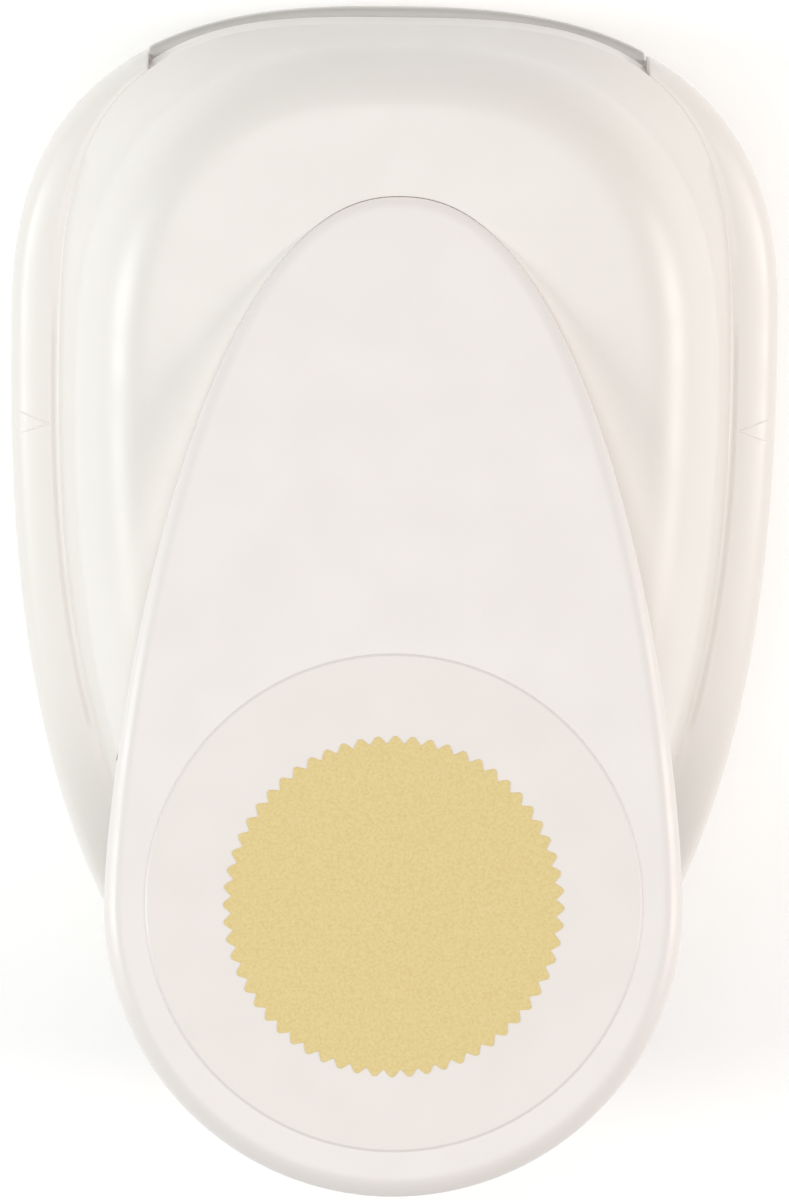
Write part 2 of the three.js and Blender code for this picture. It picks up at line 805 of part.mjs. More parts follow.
function throatCut() {
  const top = bandTop + filletHeight;
  const notch = block(-throatHalf, throatHalf, 0, beyond, coverBottom - cutOverrun, top);
  const face = loft([
    atHeight(eggOutline(footEgg, -fitGap), coverBottom - 2 * cutOverrun),
    atHeight(eggOutline(footEgg), top + fitGap),
  ]);
  return notch.subtract(face);
}

// A V on each side of the band: two fine grooves that meet at the dome's foot, level with the punch axis
function alignmentMarks(skin) {
  const apex = bodyHalf - domeSideInset + domeFootFlare + markClearance;
  const reach = bodyHalf - apex - markClearance;
  const underSkin = skin.translate([0, 0, -markDepth]);
  const strokes = [];
  for (const side of sides) {
    for (const end of sides) {
      const bar = new THREE.BoxGeometry(reach, markWidth, bandHeight);
      bar.translate(reach / 2, 0, bandTop);
      bar.rotateZ(end * THREE.MathUtils.degToRad(markAngle));
      bar.translate(apex, 0, 0);
      bar.rotateZ(side < 0 ? Math.PI : 0);
      strokes.push(solidFrom(bar).subtract(underSkin));
    }
  }
  return strokes;
}

function topCover() {
  const ledgeUnderside = bandTop - wall - partingGap;
  const rim = coverBottom + rimHeight;
  const skin = loft(coverRings());
  let solid = skin;
  let hollow = prism(insetOutline(eggOutline(bodyEgg), wall), coverBottom - cutOverrun, ledgeUnderside);
  const throatSide = throatHalf + wall;
  hollow = hollow.subtract(block(-throatSide, throatSide, 0, beyond, 0, beyond)).add(domeHollow());
  const deckFront = -plateBehind - 2 * fitGap;
  const deckTop = ledgeUnderside + wall;
  hollow = hollow.subtract(block(-beyond, beyond, -beyond, deckFront, ledgeUnderside, deckTop));
  solid = solid.subtract(hollow);
  solid = solid.subtract(archOpening(rim));
  solid = solid.subtract(throatCut());
  for (const stroke of alignmentMarks(skin)) {
    solid = solid.subtract(stroke);
  }
  for (const [x, y] of housingScrewPlaces) {
    solid = solid.add(post(postDiameter / 2, coverBottom, ledgeUnderside + cutOverrun, x, y));
  }
  for (const [x, y] of housingScrewPlaces) {
    const bite = coverBottom + coverScrewBite + threadRoom;
    solid = solid.subtract(post(screwDiameter / 2 + threadGap, 0, bite, x, y));
  }
  return solid;
}

// Screws, each standing head down on its own axis with its seat at the origin

function screw(diameter, headDiameter, headHeight, length) {
  const head = post(headDiameter / 2 - fitGap / 2, -headHeight, 0);
  return head.add(post(diameter / 2, -headHeight / 2, length));
}

// Materials

const whitePlastic = () => new THREE.MeshStandardMaterial({ color: 0xf0ece6, roughness: 0.42 });
const castZinc = () => new THREE.MeshStandardMaterial({ color: 0xa9a8a4, roughness: 0.5, metalness: 0.9 });
const brightSteel = () => new THREE.MeshStandardMaterial({ color: 0xb9bcc0, roughness: 0.3, metalness: 1 });
const darkSteel = () => new THREE.MeshStandardMaterial({ color: 0x6d7075, roughness: 0.4, metalness: 1 });
const whiteCard = () => new THREE.MeshStandardMaterial({ color: 0xefe8e2, roughness: 0.55 });
const mattGold = () => new THREE.MeshStandardMaterial({ color: 0xe3cf94, roughness: 0.55, metalness: 0.3 });

function piece(name, solid, material) {
  const mesh = new THREE.Mesh(geometryFrom(solid), material);
  mesh.name = name;
  return mesh;
}

// Assembly

function housingGroup() {
  const group = new THREE.Group();
  group.add(piece('base_housing', baseHousing(), whitePlastic()));
  group.add(piece('top_cover', topCover(), whitePlastic()));
  const shank = coverBottom + coverScrewBite - housingScrewSeat;
  housingScrewPlaces.forEach(([x, y], i) => {
    const solid = screw(screwDiameter, screwHeadDiameter, screwHeadHeight, shank);
    const mesh = piece(`housing_screw_${i + 1}`, solid, darkSteel());
    mesh.position.set(x, y, housingScrewSeat);
    group.add(mesh);
  });
  return group;
}

function dieSetGroup() {
  const group = new THREE.Group();
  group.add(piece('die_block', dieBlock(), castZinc()));
  group.add(piece('slot_spacer', slotSpacer(), brightSteel()));
  group.add(piece('upper_frame', upperFrame(), castZinc()));
  const seat = floorThickness / 2;
  const shank = frameBottom + dieScrewBite - seat;
  dieScrewPlaces.forEach(([x, y], i) => {
    const solid = screw(screwDiameter, screwHeadDiameter, seat, shank);
    const mesh = piece(`die_screw_${i + 1}`, solid, darkSteel());
    mesh.position.set(x, y, seat);
    group.add(mesh);
  });
  const pin = piece('pivot_pin', crossPin(pivotPinRadius, pivotPinHalf, 0, 0), brightSteel());
  pin.position.set(0, pivotAhead, pivotZ);
  group.add(pin);
  const clips = [['pivot_clip_left', -1], ['pivot_clip_right', 1]];
  for (const [name, side] of clips) {
    const clip = piece(name, pivotClip(), darkSteel());
    clip.position.set(0, pivotAhead, pivotZ);
    clip.rotation.y = (side * Math.PI) / 2;
    group.add(clip);
  }
  return group;
}

function punchGroup() {
  const group = new THREE.Group();
  group.add(piece('punch', punch(), brightSteel()));
  group.add(piece('punch_carrier', punchCarrier(), darkSteel()));
  carrierScrewPlaces.forEach(([x, y], i) => {
    const shank = carrierThickness + carrierScrewBite;
    const solid = screw(screwDiameter, screwHeadDiameter, screwHeadHeight, shank);
    const mesh = piece(`punch_screw_${i + 1}`, solid, brightSteel());
    mesh.position.set(x, y, carrierTop);
    mesh.rotation.x = Math.PI;
    group.add(mesh);
  });
  const coil = springGeometry();
  springPlaces.forEach(([x, y], i) => {
    const mesh = new THREE.Mesh(coil, brightSteel());
    mesh.name = `return_spring_${i + 1}`;
    mesh.position.set(x, y, 0);
    group.add(mesh);
  });
  return group;
}

function leverGroup() {
  const group = new THREE.Group();
  group.position.set(0, pivotAhead, pivotZ);
  group.rotation.x = -slopeAngle;
  group.add(piece('lever_cap', leverCap(), whitePlastic()));
  group.add(piece('lever_arm', leverArm(), darkSteel()));
  const pressPinHalf = armHalf + pressPinTail;
  group.add(piece('press_pin', crossPin(pressPinRadius, pressPinHalf, pressPinU, pressPinW), brightSteel()));
  group.add(piece('label_disc', labelDisc(), whiteCard()));
  group.add(piece('gold_label', goldLabel(), mattGold()));
  leverScrewPlaces.forEach((y, i) => {
    const length = capTop - capScrewCover - threadRoom - armWebBottom;
    const solid = screw(smallScrewDiameter, smallScrewHeadDiameter, smallScrewHeadHeight, length);
    const mesh = piece(`lever_screw_${i + 1}`, solid, brightSteel());
    mesh.position.set(0, y, armWebBottom);
    group.add(mesh);
  });
  return group;
}

const craftPunch = new THREE.Group();
craftPunch.add(housingGroup(), dieSetGroup(), punchGroup(), leverGroup());
craftPunch.updateMatrixWorld(true);

const footprint = new THREE.Box3().setFromObject(craftPunch, true);
craftPunch.position.y = -(footprint.min.y + footprint.max.y) / 2;
craftPunch.updateMatrixWorld(true);

export default craftPunch;
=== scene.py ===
import json
from math import acos, atan2, cos, hypot, pi, radians, sin, sqrt, tan

import bmesh
import bpy
import numpy as np
from mathutils import Matrix, Vector


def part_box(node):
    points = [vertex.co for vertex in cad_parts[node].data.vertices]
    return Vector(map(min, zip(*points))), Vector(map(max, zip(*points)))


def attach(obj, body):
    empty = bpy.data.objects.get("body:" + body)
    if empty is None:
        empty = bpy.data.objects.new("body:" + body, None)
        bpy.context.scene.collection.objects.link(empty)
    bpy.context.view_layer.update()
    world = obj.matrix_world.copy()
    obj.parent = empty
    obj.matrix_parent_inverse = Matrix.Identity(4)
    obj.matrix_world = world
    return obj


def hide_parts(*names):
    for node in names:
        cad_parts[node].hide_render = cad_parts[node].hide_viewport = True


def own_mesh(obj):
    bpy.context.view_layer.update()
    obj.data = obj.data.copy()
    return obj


# Palm-lever craft punch, dressed round its CAD frame. Sizes are millimetres, and meshes are scaled to metres.

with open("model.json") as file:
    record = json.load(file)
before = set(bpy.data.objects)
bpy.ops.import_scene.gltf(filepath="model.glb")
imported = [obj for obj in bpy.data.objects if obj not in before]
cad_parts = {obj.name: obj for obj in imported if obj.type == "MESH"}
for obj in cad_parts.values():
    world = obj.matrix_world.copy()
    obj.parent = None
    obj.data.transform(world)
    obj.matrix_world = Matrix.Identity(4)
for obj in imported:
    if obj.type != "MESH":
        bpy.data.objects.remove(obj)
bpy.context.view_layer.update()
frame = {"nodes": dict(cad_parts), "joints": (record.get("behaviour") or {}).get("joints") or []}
mm = 0.001


def boxOf(node):
    low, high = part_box(node)
    return low / mm, high / mm


joints = {joint["name"]: joint for joint in frame["joints"]}
pivotY, pivotZ = [value / mm for value in joints["lever_hinge"]["pos_m"][1:]]
swing = radians(joints["lever_hinge"]["range_deg"][1])
coverLow, coverHigh = boxOf("top_cover")
baseHigh = boxOf("base_housing")[1]
dieLow, dieHigh = boxOf("die_block")
frameLow, frameHigh = boxOf("upper_frame")
punchLow, punchHigh = boxOf("punch")
carrierLow, carrierHigh = boxOf("punch_carrier")
punchY = (punchLow.y + punchHigh.y) / 2

print("stage: frame read,", len(frame["nodes"]), "solids")

# ---- camera, floor and light

photo = {
    "target": (0.19, -0.93, 28.0),   # what the middle of the photograph looks at
    "distance": 1150.0,
    "spanAtTarget": 129.25,          # millimetres from the top of the picture to its bottom
    "tiltForward": 6.5,              # degrees off straight down, towards the throat
    "tiltSide": -1.158,
    "roll": -0.769,
    "sensor": 36.0,
    "clip": (0.05, 20.0),            # metres
}
studio = {
    "worldHex": "#ffffff",
    "worldStrength": 0.3,
    "floorSize": 6.0,                # metres
    "floorHex": "#fdfdfd",
    "floorGlow": 0.16,               # a back-lit sweep, as under product photographs
    "floorSheen": 0.2,
}
lights = {   # metres and watts: two low softboxes light the shoulders, and a broad one fills from above
    "left": {"place": (-1.0, 0.05, 0.52), "size": 0.4, "power": 4.7, "hex": "#f9fefc"},
    "right": {"place": (1.0, 0.05, 0.52), "size": 0.4, "power": 4.7, "hex": "#fff6ef"},
    "top": {"place": (-0.1, 0.1, 1.6), "size": 1.2, "power": 8.8, "hex": "#fffdfc"},
}


def addObject(name, data):
    thing = bpy.data.objects.new(name, data)
    bpy.context.scene.collection.objects.link(thing)
    return thing


def makeCamera():
    side, ahead = radians(photo["tiltSide"]), radians(photo["tiltForward"])
    back = Vector((sin(side) * cos(ahead), sin(ahead), cos(side) * cos(ahead))).normalized()
    up = (Vector((0, 1, 0)) - back * back.y).normalized()
    right = up.cross(back)
    roll = radians(photo["roll"])
    turnedUp = up * cos(roll) + right * sin(roll)
    turnedRight = right * cos(roll) - up * sin(roll)
    camera = addObject("camera", bpy.data.cameras.new("camera"))
    turn = Matrix((turnedRight, turnedUp, back)).transposed().to_4x4()
    place = (Vector(photo["target"]) + back * photo["distance"]) * mm
    camera.matrix_world = Matrix.Translation(place) @ turn
    camera.data.sensor_fit = "VERTICAL"
    camera.data.sensor_height = camera.data.sensor_width = photo["sensor"]
    camera.data.lens = photo["sensor"] * photo["distance"] / photo["spanAtTarget"]
    camera.data.clip_start, camera.data.clip_end = photo["clip"]
    bpy.context.scene.camera = camera


def linearOf(hexColour, alpha=1.0):
    values = [int(hexColour[i:i + 2], 16) / 255 for i in (1, 3, 5)]
    return tuple(v / 12.92 if v <= 0.04045 else ((v + 0.055) / 1.055) ** 2.4 for v in values) + (alpha,)


def addNode(tree, kind, settings=None, inputs=None):
    node = tree.nodes.new(kind)
    for name, value in (settings or {}).items():
        setattr(node, name, value)
    for name, value in (inputs or {}).items():
        if isinstance(value, bpy.types.NodeSocket):
            tree.links.new(value, node.inputs[name])
        else:
            node.inputs[name].default_value = value
    return node


def newFinish(name, colour, roughness, values):
    finish = bpy.data.materials.new(name)
    finish.use_nodes = True
    shader = finish.node_tree.nodes["Principled BSDF"]
    shader.inputs["Base Color"].default_value = linearOf(colour)
    shader.inputs["Roughness"].default_value = roughness
    for socket, value in values.items():
        shader.inputs[socket].default_value = value
    return finish, finish.node_tree, shader


def addAreaLight(name, light):
    data = bpy.data.lights.new(name, "AREA")
    data.shape = "DISK"
    data.size, data.energy = light["size"], light["power"]
    data.color = linearOf(light["hex"])[:3]
    lamp = addObject(name, data)
    lamp.location = light["place"]
    lamp.rotation_mode = "QUATERNION"
    lamp.rotation_quaternion = (-Vector(light["place"])).to_track_quat("-Z", "Y")


def makeStudio():
    scene = bpy.context.scene
    scene.view_settings.view_transform = "Standard"
    scene.view_settings.look = "None"
    world = bpy.data.worlds.new("studio")
    world.use_nodes = True
    background = world.node_tree.nodes["Background"]
    background.inputs["Color"].default_value = linearOf(studio["worldHex"])
    background.inputs["Strength"].default_value = studio["worldStrength"]
    scene.world = world
    for name, light in lights.items():
        addAreaLight(name, light)
    half = studio["floorSize"] / 2
    mesh = bpy.data.meshes.new("floor")
    mesh.from_pydata([(-half, -half, 0), (half, -half, 0), (half, half, 0), (-half, half, 0)], [], [(0, 1, 2, 3)])
    floor = addObject("floor", mesh)
    paper = newFinish("white sweep paper", studio["floorHex"], 0.9, {
        "Specular IOR Level": studio["floorSheen"], "Emission Color": linearOf(studio["floorHex"]),
        "Emission Strength": studio["floorGlow"]})[0]
    mesh.materials.append(paper)


makeCamera()
makeStudio()

# ---- finishes


def wearBy(noise, tree, shader, roughnesses, strength, depth):
    # one noise drives the gloss between two roughnesses and lifts the surface by a depth in millimetres
    gloss = addNode(tree, "ShaderNodeMapRange", inputs={
        "Value": noise.outputs["Fac"], "From Min": 0.3, "From Max": 0.7,
        "To Min": roughnesses[0], "To Max": roughnesses[1]})
    tree.links.new(gloss.outputs["Result"], shader.inputs["Roughness"])
    bump = addNode(tree, "ShaderNodeBump", inputs={
        "Height": noise.outputs["Fac"], "Strength": strength, "Distance": depth * mm})
    tree.links.new(bump.outputs["Normal"], shader.inputs["Normal"])
    return bump


def mouldedWhiteAbs(name, colour, roughness):
    # injection-moulded ABS from a lightly spark-eroded tool: soft satin, with a faint orange peel all over
    finish, tree, shader = newFinish(name, colour, roughness, {
        "IOR": 1.54, "Subsurface Weight": 0.06, "Subsurface Radius": (1.0, 0.8, 0.6), "Subsurface Scale": 0.8 * mm})
    place = addNode(tree, "ShaderNodeTexCoord").outputs["Object"]
    grain = addNode(tree, "ShaderNodeTexNoise", inputs={   # a 0.35 mm spark texture
        "Vector": place, "Scale": 1 / (0.35 * mm), "Detail": 2.0, "Roughness": 0.6})
    peel = addNode(tree, "ShaderNodeTexNoise", inputs={    # 6 mm flow waviness
        "Vector": place, "Scale": 1 / (6.0 * mm), "Detail": 1.0, "Roughness": 0.4})
    broad = wearBy(peel, tree, shader, (roughness - 0.03, roughness + 0.04), 0.12, 0.12)
    fine = addNode(tree, "ShaderNodeBump", inputs={
        "Height": grain.outputs["Fac"], "Strength": 0.05, "Distance": 0.06 * mm})
    tree.links.new(fine.outputs["Normal"], broad.inputs["Normal"])
    shade = addNode(tree, "ShaderNodeHueSaturation", inputs={"Value": 0.992, "Color": linearOf(colour)})
    tint = addNode(tree, "ShaderNodeMix", {"data_type": "RGBA"}, {
        "Factor": peel.outputs["Fac"], "A": linearOf(colour), "B": shade.outputs["Color"]})
    tree.links.new(tint.outputs["Result"], shader.inputs["Base Color"])
    return finish


def castMetal(name, colour, roughness):
    # die-cast zinc, tumbled and lacquered: an even pale grey, only partly metallic, with a faint grain
    finish, tree, shader = newFinish(name, colour, roughness, {
        "Metallic": 0.3, "IOR": 1.5, "Coat Weight": 0.15, "Coat Roughness": 0.3})
    place = addNode(tree, "ShaderNodeTexCoord").outputs["Object"]
    grain = addNode(tree, "ShaderNodeTexNoise", inputs={   # 0.5 mm tumbling marks
        "Vector": place, "Scale": 1 / (0.5 * mm), "Detail": 3.0, "Roughness": 0.65})
    wearBy(grain, tree, shader, (roughness - 0.06, roughness + 0.08), 0.15, 0.03)
    return finish


def turnedSteel(name, colour, roughness, lineWidth):
    # ground or turned steel: fine parallel lines across the piece
    finish, tree, shader = newFinish(name, colour, roughness, {"Metallic": 1.0})
    place = addNode(tree, "ShaderNodeTexCoord").outputs["Object"]
    stretch = 14.0
    squeeze = addNode(tree, "ShaderNodeMapping", inputs={"Vector": place, "Scale": (1.0, 1.0, stretch)})
    lines = addNode(tree, "ShaderNodeTexNoise", inputs={
        "Vector": squeeze.outputs["Vector"], "Scale": 1 / (lineWidth * stretch * mm),
        "Detail": 3.0, "Roughness": 0.7})
    wearBy(lines, tree, shader, (roughness - 0.08, roughness + 0.1), 0.12, 0.02)
    return finish


def goldFoilPrint(name, colour, darker):
    # pearl-gold screen print: metal flakes in a matt binder, so a fine even speckle and no mirror reflections
    finish, tree, shader = newFinish(name, colour, 0.52, {"Metallic": 0.25, "IOR": 1.5})
    place = addNode(tree, "ShaderNodeTexCoord").outputs["Object"]
    flakes = addNode(tree, "ShaderNodeTexNoise", inputs={  # flakes are drawn 0.32 mm apart to show
        "Vector": place, "Scale": 1 / (0.32 * mm), "Detail": 2.0, "Roughness": 0.7})
    contrast = addNode(tree, "ShaderNodeMapRange", inputs={
        "Value": flakes.outputs["Fac"], "From Min": 0.35, "From Max": 0.65})
    tint = addNode(tree, "ShaderNodeMix", {"data_type": "RGBA"}, {
        "Factor": contrast.outputs["Result"], "A": linearOf(darker), "B": linearOf(colour)})
    tree.links.new(tint.outputs["Result"], shader.inputs["Base Color"])
    bump = addNode(tree, "ShaderNodeBump", inputs={
        "Height": flakes.outputs["Fac"], "Strength": 0.2, "Distance": 0.02 * mm})
    tree.links.new(bump.outputs["Normal"], shader.inputs["Normal"])
    return finish


whiteShell = mouldedWhiteAbs("satin white ABS shell", "#f3efea", 0.36)
whiteLever = mouldedWhiteAbs("satin white ABS lever", "#f3eeeb", 0.36)
discPlastic = mouldedWhiteAbs("satin white inlay", "#f2ece8", 0.42)
zincCasting = castMetal("tumbled zinc casting", "#d8d5d1", 0.48)
groundSteel = turnedSteel("ground tool steel", "#c6c8ca", 0.3, 0.08)
platedSteel = turnedSteel("zinc plated steel sheet", "#a9abae", 0.38, 0.12)
darkScrewSteel = turnedSteel("blackened screw steel", "#6a6c70", 0.4, 0.1)
goldPrint = goldFoilPrint("pearl gold screen print", "#e5d197", "#dcc788")

print("stage: finishes made")

# ---- mesh helpers

rounding = 0.3      # where a small edge's middle point lies, as a share of the edge
cutterEdge = 0.01   # a cutter's own edges stay all but sharp
sideways = Matrix(((0, 0, 1, 0), (1, 0, 0, 0), (0, 1, 0, 0), (0, 0, 0, 1)))   # stands an outline in (y, z) across X


def newPiece(name, points, faces=()):
    mesh = bpy.data.meshes.new(name)
    mesh.from_pydata([tuple(Vector(point) * mm) for point in points], [], faces)
    return addObject(name, mesh)


def shade(piece, sharp):
    piece.data.shade_smooth()
    piece.data.set_sharp_from_angle(angle=radians(sharp))
    return piece


def cleanUp(piece, sharp=35, recalculate=True):
    work = bmesh.new()
    work.from_mesh(piece.data)
    bmesh.ops.remove_doubles(work, verts=work.verts, dist=0.002 * mm)
    bmesh.ops.dissolve_degenerate(work, edges=work.edges, dist=0.001 * mm)
    if recalculate:
        bmesh.ops.recalc_face_normals(work, faces=work.faces)
    work.to_mesh(piece.data)
    work.free()
    return shade(piece, sharp)


def skinRings(name, rings, finish, loop=False, sharp=35):
    # a skin over rings of equal point counts; a loop joins the last ring to the first, else both ends are capped
    count = len(rings[0])
    points = [point for ring in rings for point in ring]
    faces = []
    for level in range(len(rings) if loop else len(rings) - 1):
        below, above = level * count, ((level + 1) % len(rings)) * count
        for i in range(count):
            j = (i + 1) % count
            faces.append((below + i, below + j, above + j, above + i))
    if not loop:
        faces.append(tuple(reversed(range(count))))
        faces.append(tuple(range((len(rings) - 1) * count, len(rings) * count)))
    piece = newPiece(name, points, faces)
    piece.data.materials.append(finish)
    return cleanUp(piece, sharp)


def arcPoints(radius, start, end, steps, centre=(0, 0)):
    turns = [start + (end - start) * i / steps for i in range(steps + 1)]
    return [(centre[0] + radius * cos(turn), centre[1] + radius * sin(turn)) for turn in turns]


def lathe(name, profile, finish, steps=48, place=Matrix(), sharp=35):
    # profile runs from the axis back to the axis as (radius, height), standing on Z unless it is placed
    rings = [[place @ Vector((x, y, height)) for x, y in arcPoints(radius, 0, 2 * pi, steps)[:-1]]
             for radius, height in profile]
    return skinRings(name, rings, finish, sharp=sharp)


def lathesAt(places, profile, finish, steps=48):
    return [lathe("turned", profile, finish, steps, Matrix.Translation((*place, 0))) for place in places]


def edgeLevels(low, high, edge):
    # insets and heights up an upright side whose two edges are rounded
    soft = edge * (1 - sqrt(0.5))
    return [(edge, low), (soft, low + soft), (0, low + edge), (0, high - edge), (soft, high - soft), (edge, high)]


def pinProfile(radius, low, high, edge):
    side = [(radius - inset, height) for inset, height in edgeLevels(low, high, edge)]
    return [(0.0, low)] + side + [(0.0, high)]


def boxOutline(left, back, right, front):
    return [(left, back), (right, back), (right, front), (left, front)]


def insetOutline(points, distance):
    # the distance is one number, or a list with one for each point
    count = len(points)
    distances = distance if isinstance(distance, list) else [distance] * count
    moved = []
    for i, (point, inset) in enumerate(zip(points, distances)):
        before, after = points[i - 1], points[(i + 1) % count]
        dx, dy = after[0] - before[0], after[1] - before[1]
        length = hypot(dx, dy) or 1
        moved.append((point[0] - dy / length * inset, point[1] + dx / length * inset))
    return moved


def plateOf(name, outline, low, high, edge, finish, place=Matrix(), sharp=30):
    # flat plate with a small rounded edge all round, from an anticlockwise outline
    rings = [[place @ Vector((x, y, height)) for x, y in insetOutline(outline, inset)]
             for inset, height in edgeLevels(low, high, edge)]
    return skinRings(name, rings, finish, sharp=sharp)


def bake(piece):
    graph = bpy.context.evaluated_depsgraph_get()
    mesh = bpy.data.meshes.new_from_object(piece.evaluated_get(graph), depsgraph=graph)
    piece.modifiers.clear()
    piece.data = mesh
    return piece


def cutWith(piece, cutters, operation="DIFFERENCE", sharp=35):
    for cutter in cutters:
        change = piece.modifiers.new("cut", "BOOLEAN")
        change.operation, change.solver, change.object = operation, "EXACT", cutter
    bake(piece)
    for cutter in cutters:
        bpy.data.objects.remove(cutter)
    return cleanUp(piece, sharp, recalculate=False)


def joinAll(name, pieces):
    # several disjoint bodies as one piece, in the finish of the first
    finish = pieces[0].data.materials[0]
    work = bmesh.new()
    for piece in pieces:
        work.from_mesh(piece.data)
        bpy.data.objects.remove(piece)
    mesh = bpy.data.meshes.new(name)
    work.to_mesh(mesh)
    work.free()
    mesh.materials.append(finish)
    return cleanUp(addObject(name, mesh))


def settle(piece, body, slotName, *nodes):
    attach(piece, body)
    if nodes:
        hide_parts(*nodes)
    return piece


def numbered(stem, count):
    return [f"{stem}_{i + 1}" for i in range(count)]


# ---- outlines shared by the housing, seen from above

eggs = {
    "body": {"half": coverHigh.x, "front": dieHigh.y, "rear": coverLow.y, "widest": punchY + 9.8,
             "frontPower": 2.66, "rearPower": 2.37},
    "foot": {"half": coverHigh.x - 5.4, "front": dieHigh.y - 1.15, "rear": coverLow.y + 9.6, "widest": punchY + 6.0,
             "frontPower": 3.25, "rearPower": 2.3},
    "dome": {"half": coverHigh.x - 7.0, "front": dieHigh.y - 2.75, "rear": coverLow.y + 11.2, "widest": punchY + 6.0,
             "frontPower": 2.6, "rearPower": 2.3},
}


def eggPoint(egg, angle, sideInset=0.0, endInset=None):
    endInset = sideInset if endInset is None else endInset
    side, end = cos(angle), sin(angle)
    power = egg["frontPower"] if end >= 0 else egg["rearPower"]
    reach = egg["front"] - egg["widest"] if end >= 0 else egg["widest"] - egg["rear"]
    x = abs(side) ** (2 / power) * (egg["half"] - sideInset)
    y = abs(end) ** (2 / power) * (reach - endInset)
    return Vector((x if side >= 0 else -x, egg["widest"] + (y if end >= 0 else -y)))


def angleAtSide(egg, x, sideInset=0.0):
    return acos((x / (egg["half"] - sideInset)) ** (egg["frontPower"] / 2))


# ---- lever outline, in the lever's own frame: u forward along its top plane, w square to it

lever = {
    "slope": 8.0,
    "padRadius": 30.6,
    "padBehind": 81.0,       # pad centre to pivot
    "noseBehind": 5.9,
    "sidePower": 1.52,
    "nosePower": 2.23,
    "sideSteps": 110,
    "backSteps": 120,
    "top": 7.057,
    "ceiling": 4.657,
    "bottom": -4.943,
    "wall": 2.2,
    "drafts": (0.1, 0.5),         # how far the side walls lean in, round the arch and behind the pad
    "draftFrom": -75.0,
    "draftTo": -106.0,
    "edgeDepths": (0.45, 1.73),   # of the rounded top edge, at the nose and at the pad
    "edgeWidths": (1.5, 2.22),
    "edgeFrom": -15.0,
    "edgeTo": -85.0,
    "edgeShares": [(0.0, 0.0), (0.018, 0.18), (0.073, 0.347), (0.158, 0.492), (0.309, 0.643), (0.46, 0.794),
                   (0.597, 0.89), (0.744, 0.957), (0.879, 0.99), (1.0, 1.0), (1.12, 1.0)],   # nearly a flat bevel
    "rimEdge": 0.5,
    "innerFillet": 1.2,
    "webTop": 3.457,
    "webBottom": 1.957,
    "pinU": -31.611,
    "pinW": -1.413,
    "armHalf": 8.0,
    "armRoom": 0.6,
    "mouth": 8.4,            # how far the open end for the arm reaches back from the nose
    "mouthRoom": 0.3,
    "overcut": 2.0,
    "bossRadius": 4.0,
}
leverPlace = Matrix.Translation((0, pivotY, pivotZ)) @ Matrix.Rotation(-radians(lever["slope"]), 4, "X")


def leverOutline():
    length = lever["padBehind"] - lever["noseBehind"]
    right = []
    for i in range(lever["sideSteps"] + 1):
        angle = i / lever["sideSteps"] * pi / 2
        along = sin(angle) ** (2 / lever["sidePower"])
        across = max(cos(angle), 0) ** (2 / lever["nosePower"])
        right.append((lever["padRadius"] * across, length * along - lever["padBehind"]))
    left = [(-x, y) for x, y in reversed(right[:-1])]
    back = arcPoints(lever["padRadius"], pi, 2 * pi, lever["backSteps"], (0, -lever["padBehind"]))
    return right + left + back[1:-1]


# ---- top cover: band, side groove, dome, crown and the arch that the lever sinks into

cover = {
    "wall": 2.2,
    "partingEdge": 0.4,
    "bandSide": 4.9,          # height of the band's upright side
    "bandRows": (0.7, 1.0, 1.35, 1.8, 3.2),
    "bandHeight": 8.9,
    "crestShares": [(0.0, 0.0), (0.012, 0.2), (0.05, 0.42), (0.11, 0.56), (0.2, 0.68), (0.32, 0.775), (0.45, 0.85),
                    (0.6, 0.93), (0.72, 0.975), (0.78, 0.995), (0.8, 1.0)],   # across and up from the band's side
    "crestEdge": (0.815, 0.05),
    "grooveFloor": 0.89,      # shares of the way from the band's side to the dome's foot
    "grooveToe": 0.95,
    "grooveRises": (0.85, 0.55),   # shares of the depth that are left halfway to the toe and at it
    "grooveDepth": 0.2,
    "grooveFront": punchY + 22.0,
    "grooveFade": 15.0,
    "grooveEnd": punchY - 33.0,
    "wallPower": 1.8,         # above 1 the dome's wall leaves its foot in a hollow curve
    "skirtFlare": 0.4,
    "skirtHeight": 1.6,
    "fillet": 0.9,
    "creaseHeight": 18.7,
    "shoulderSide": 9.2,
    "shoulderFront": 6.8,
    "crown": 1.5,
    "noseSink": 0.7,
    "noseGap": 0.02,
    "sideGap": 0.012,
    "swingSteps": 6,
    "lowGap": 0.008,          # room for each millimetre below the lever's rim
    "underGap": 1.3,
    "rimHeight": 13.0,
    "archEdge": 0.04,
    "archDraft": 0.03,
    "throatHalf": 26.95,
    "endEdge": 0.3,
    "sideMeridians": 132,
    "frontMeridians": 60,
    "wallSteps": 5,
    "shoulderSteps": 12,
    "crownSteps": 10,
}
leverTopAtNose = leverPlace @ Vector((0, -lever["noseBehind"], lever["top"]))
domeTop = leverTopAtNose.z + cover["noseSink"]
coverFoot = coverLow.z
bandTop = coverFoot + cover["bandHeight"]
creaseZ = coverFoot + cover["creaseHeight"]
rimZ = coverFoot + cover["rimHeight"]
ledgeZ = bandTop - cover["wall"] - cover["partingEdge"]
footZ = bandTop + cover["fillet"]

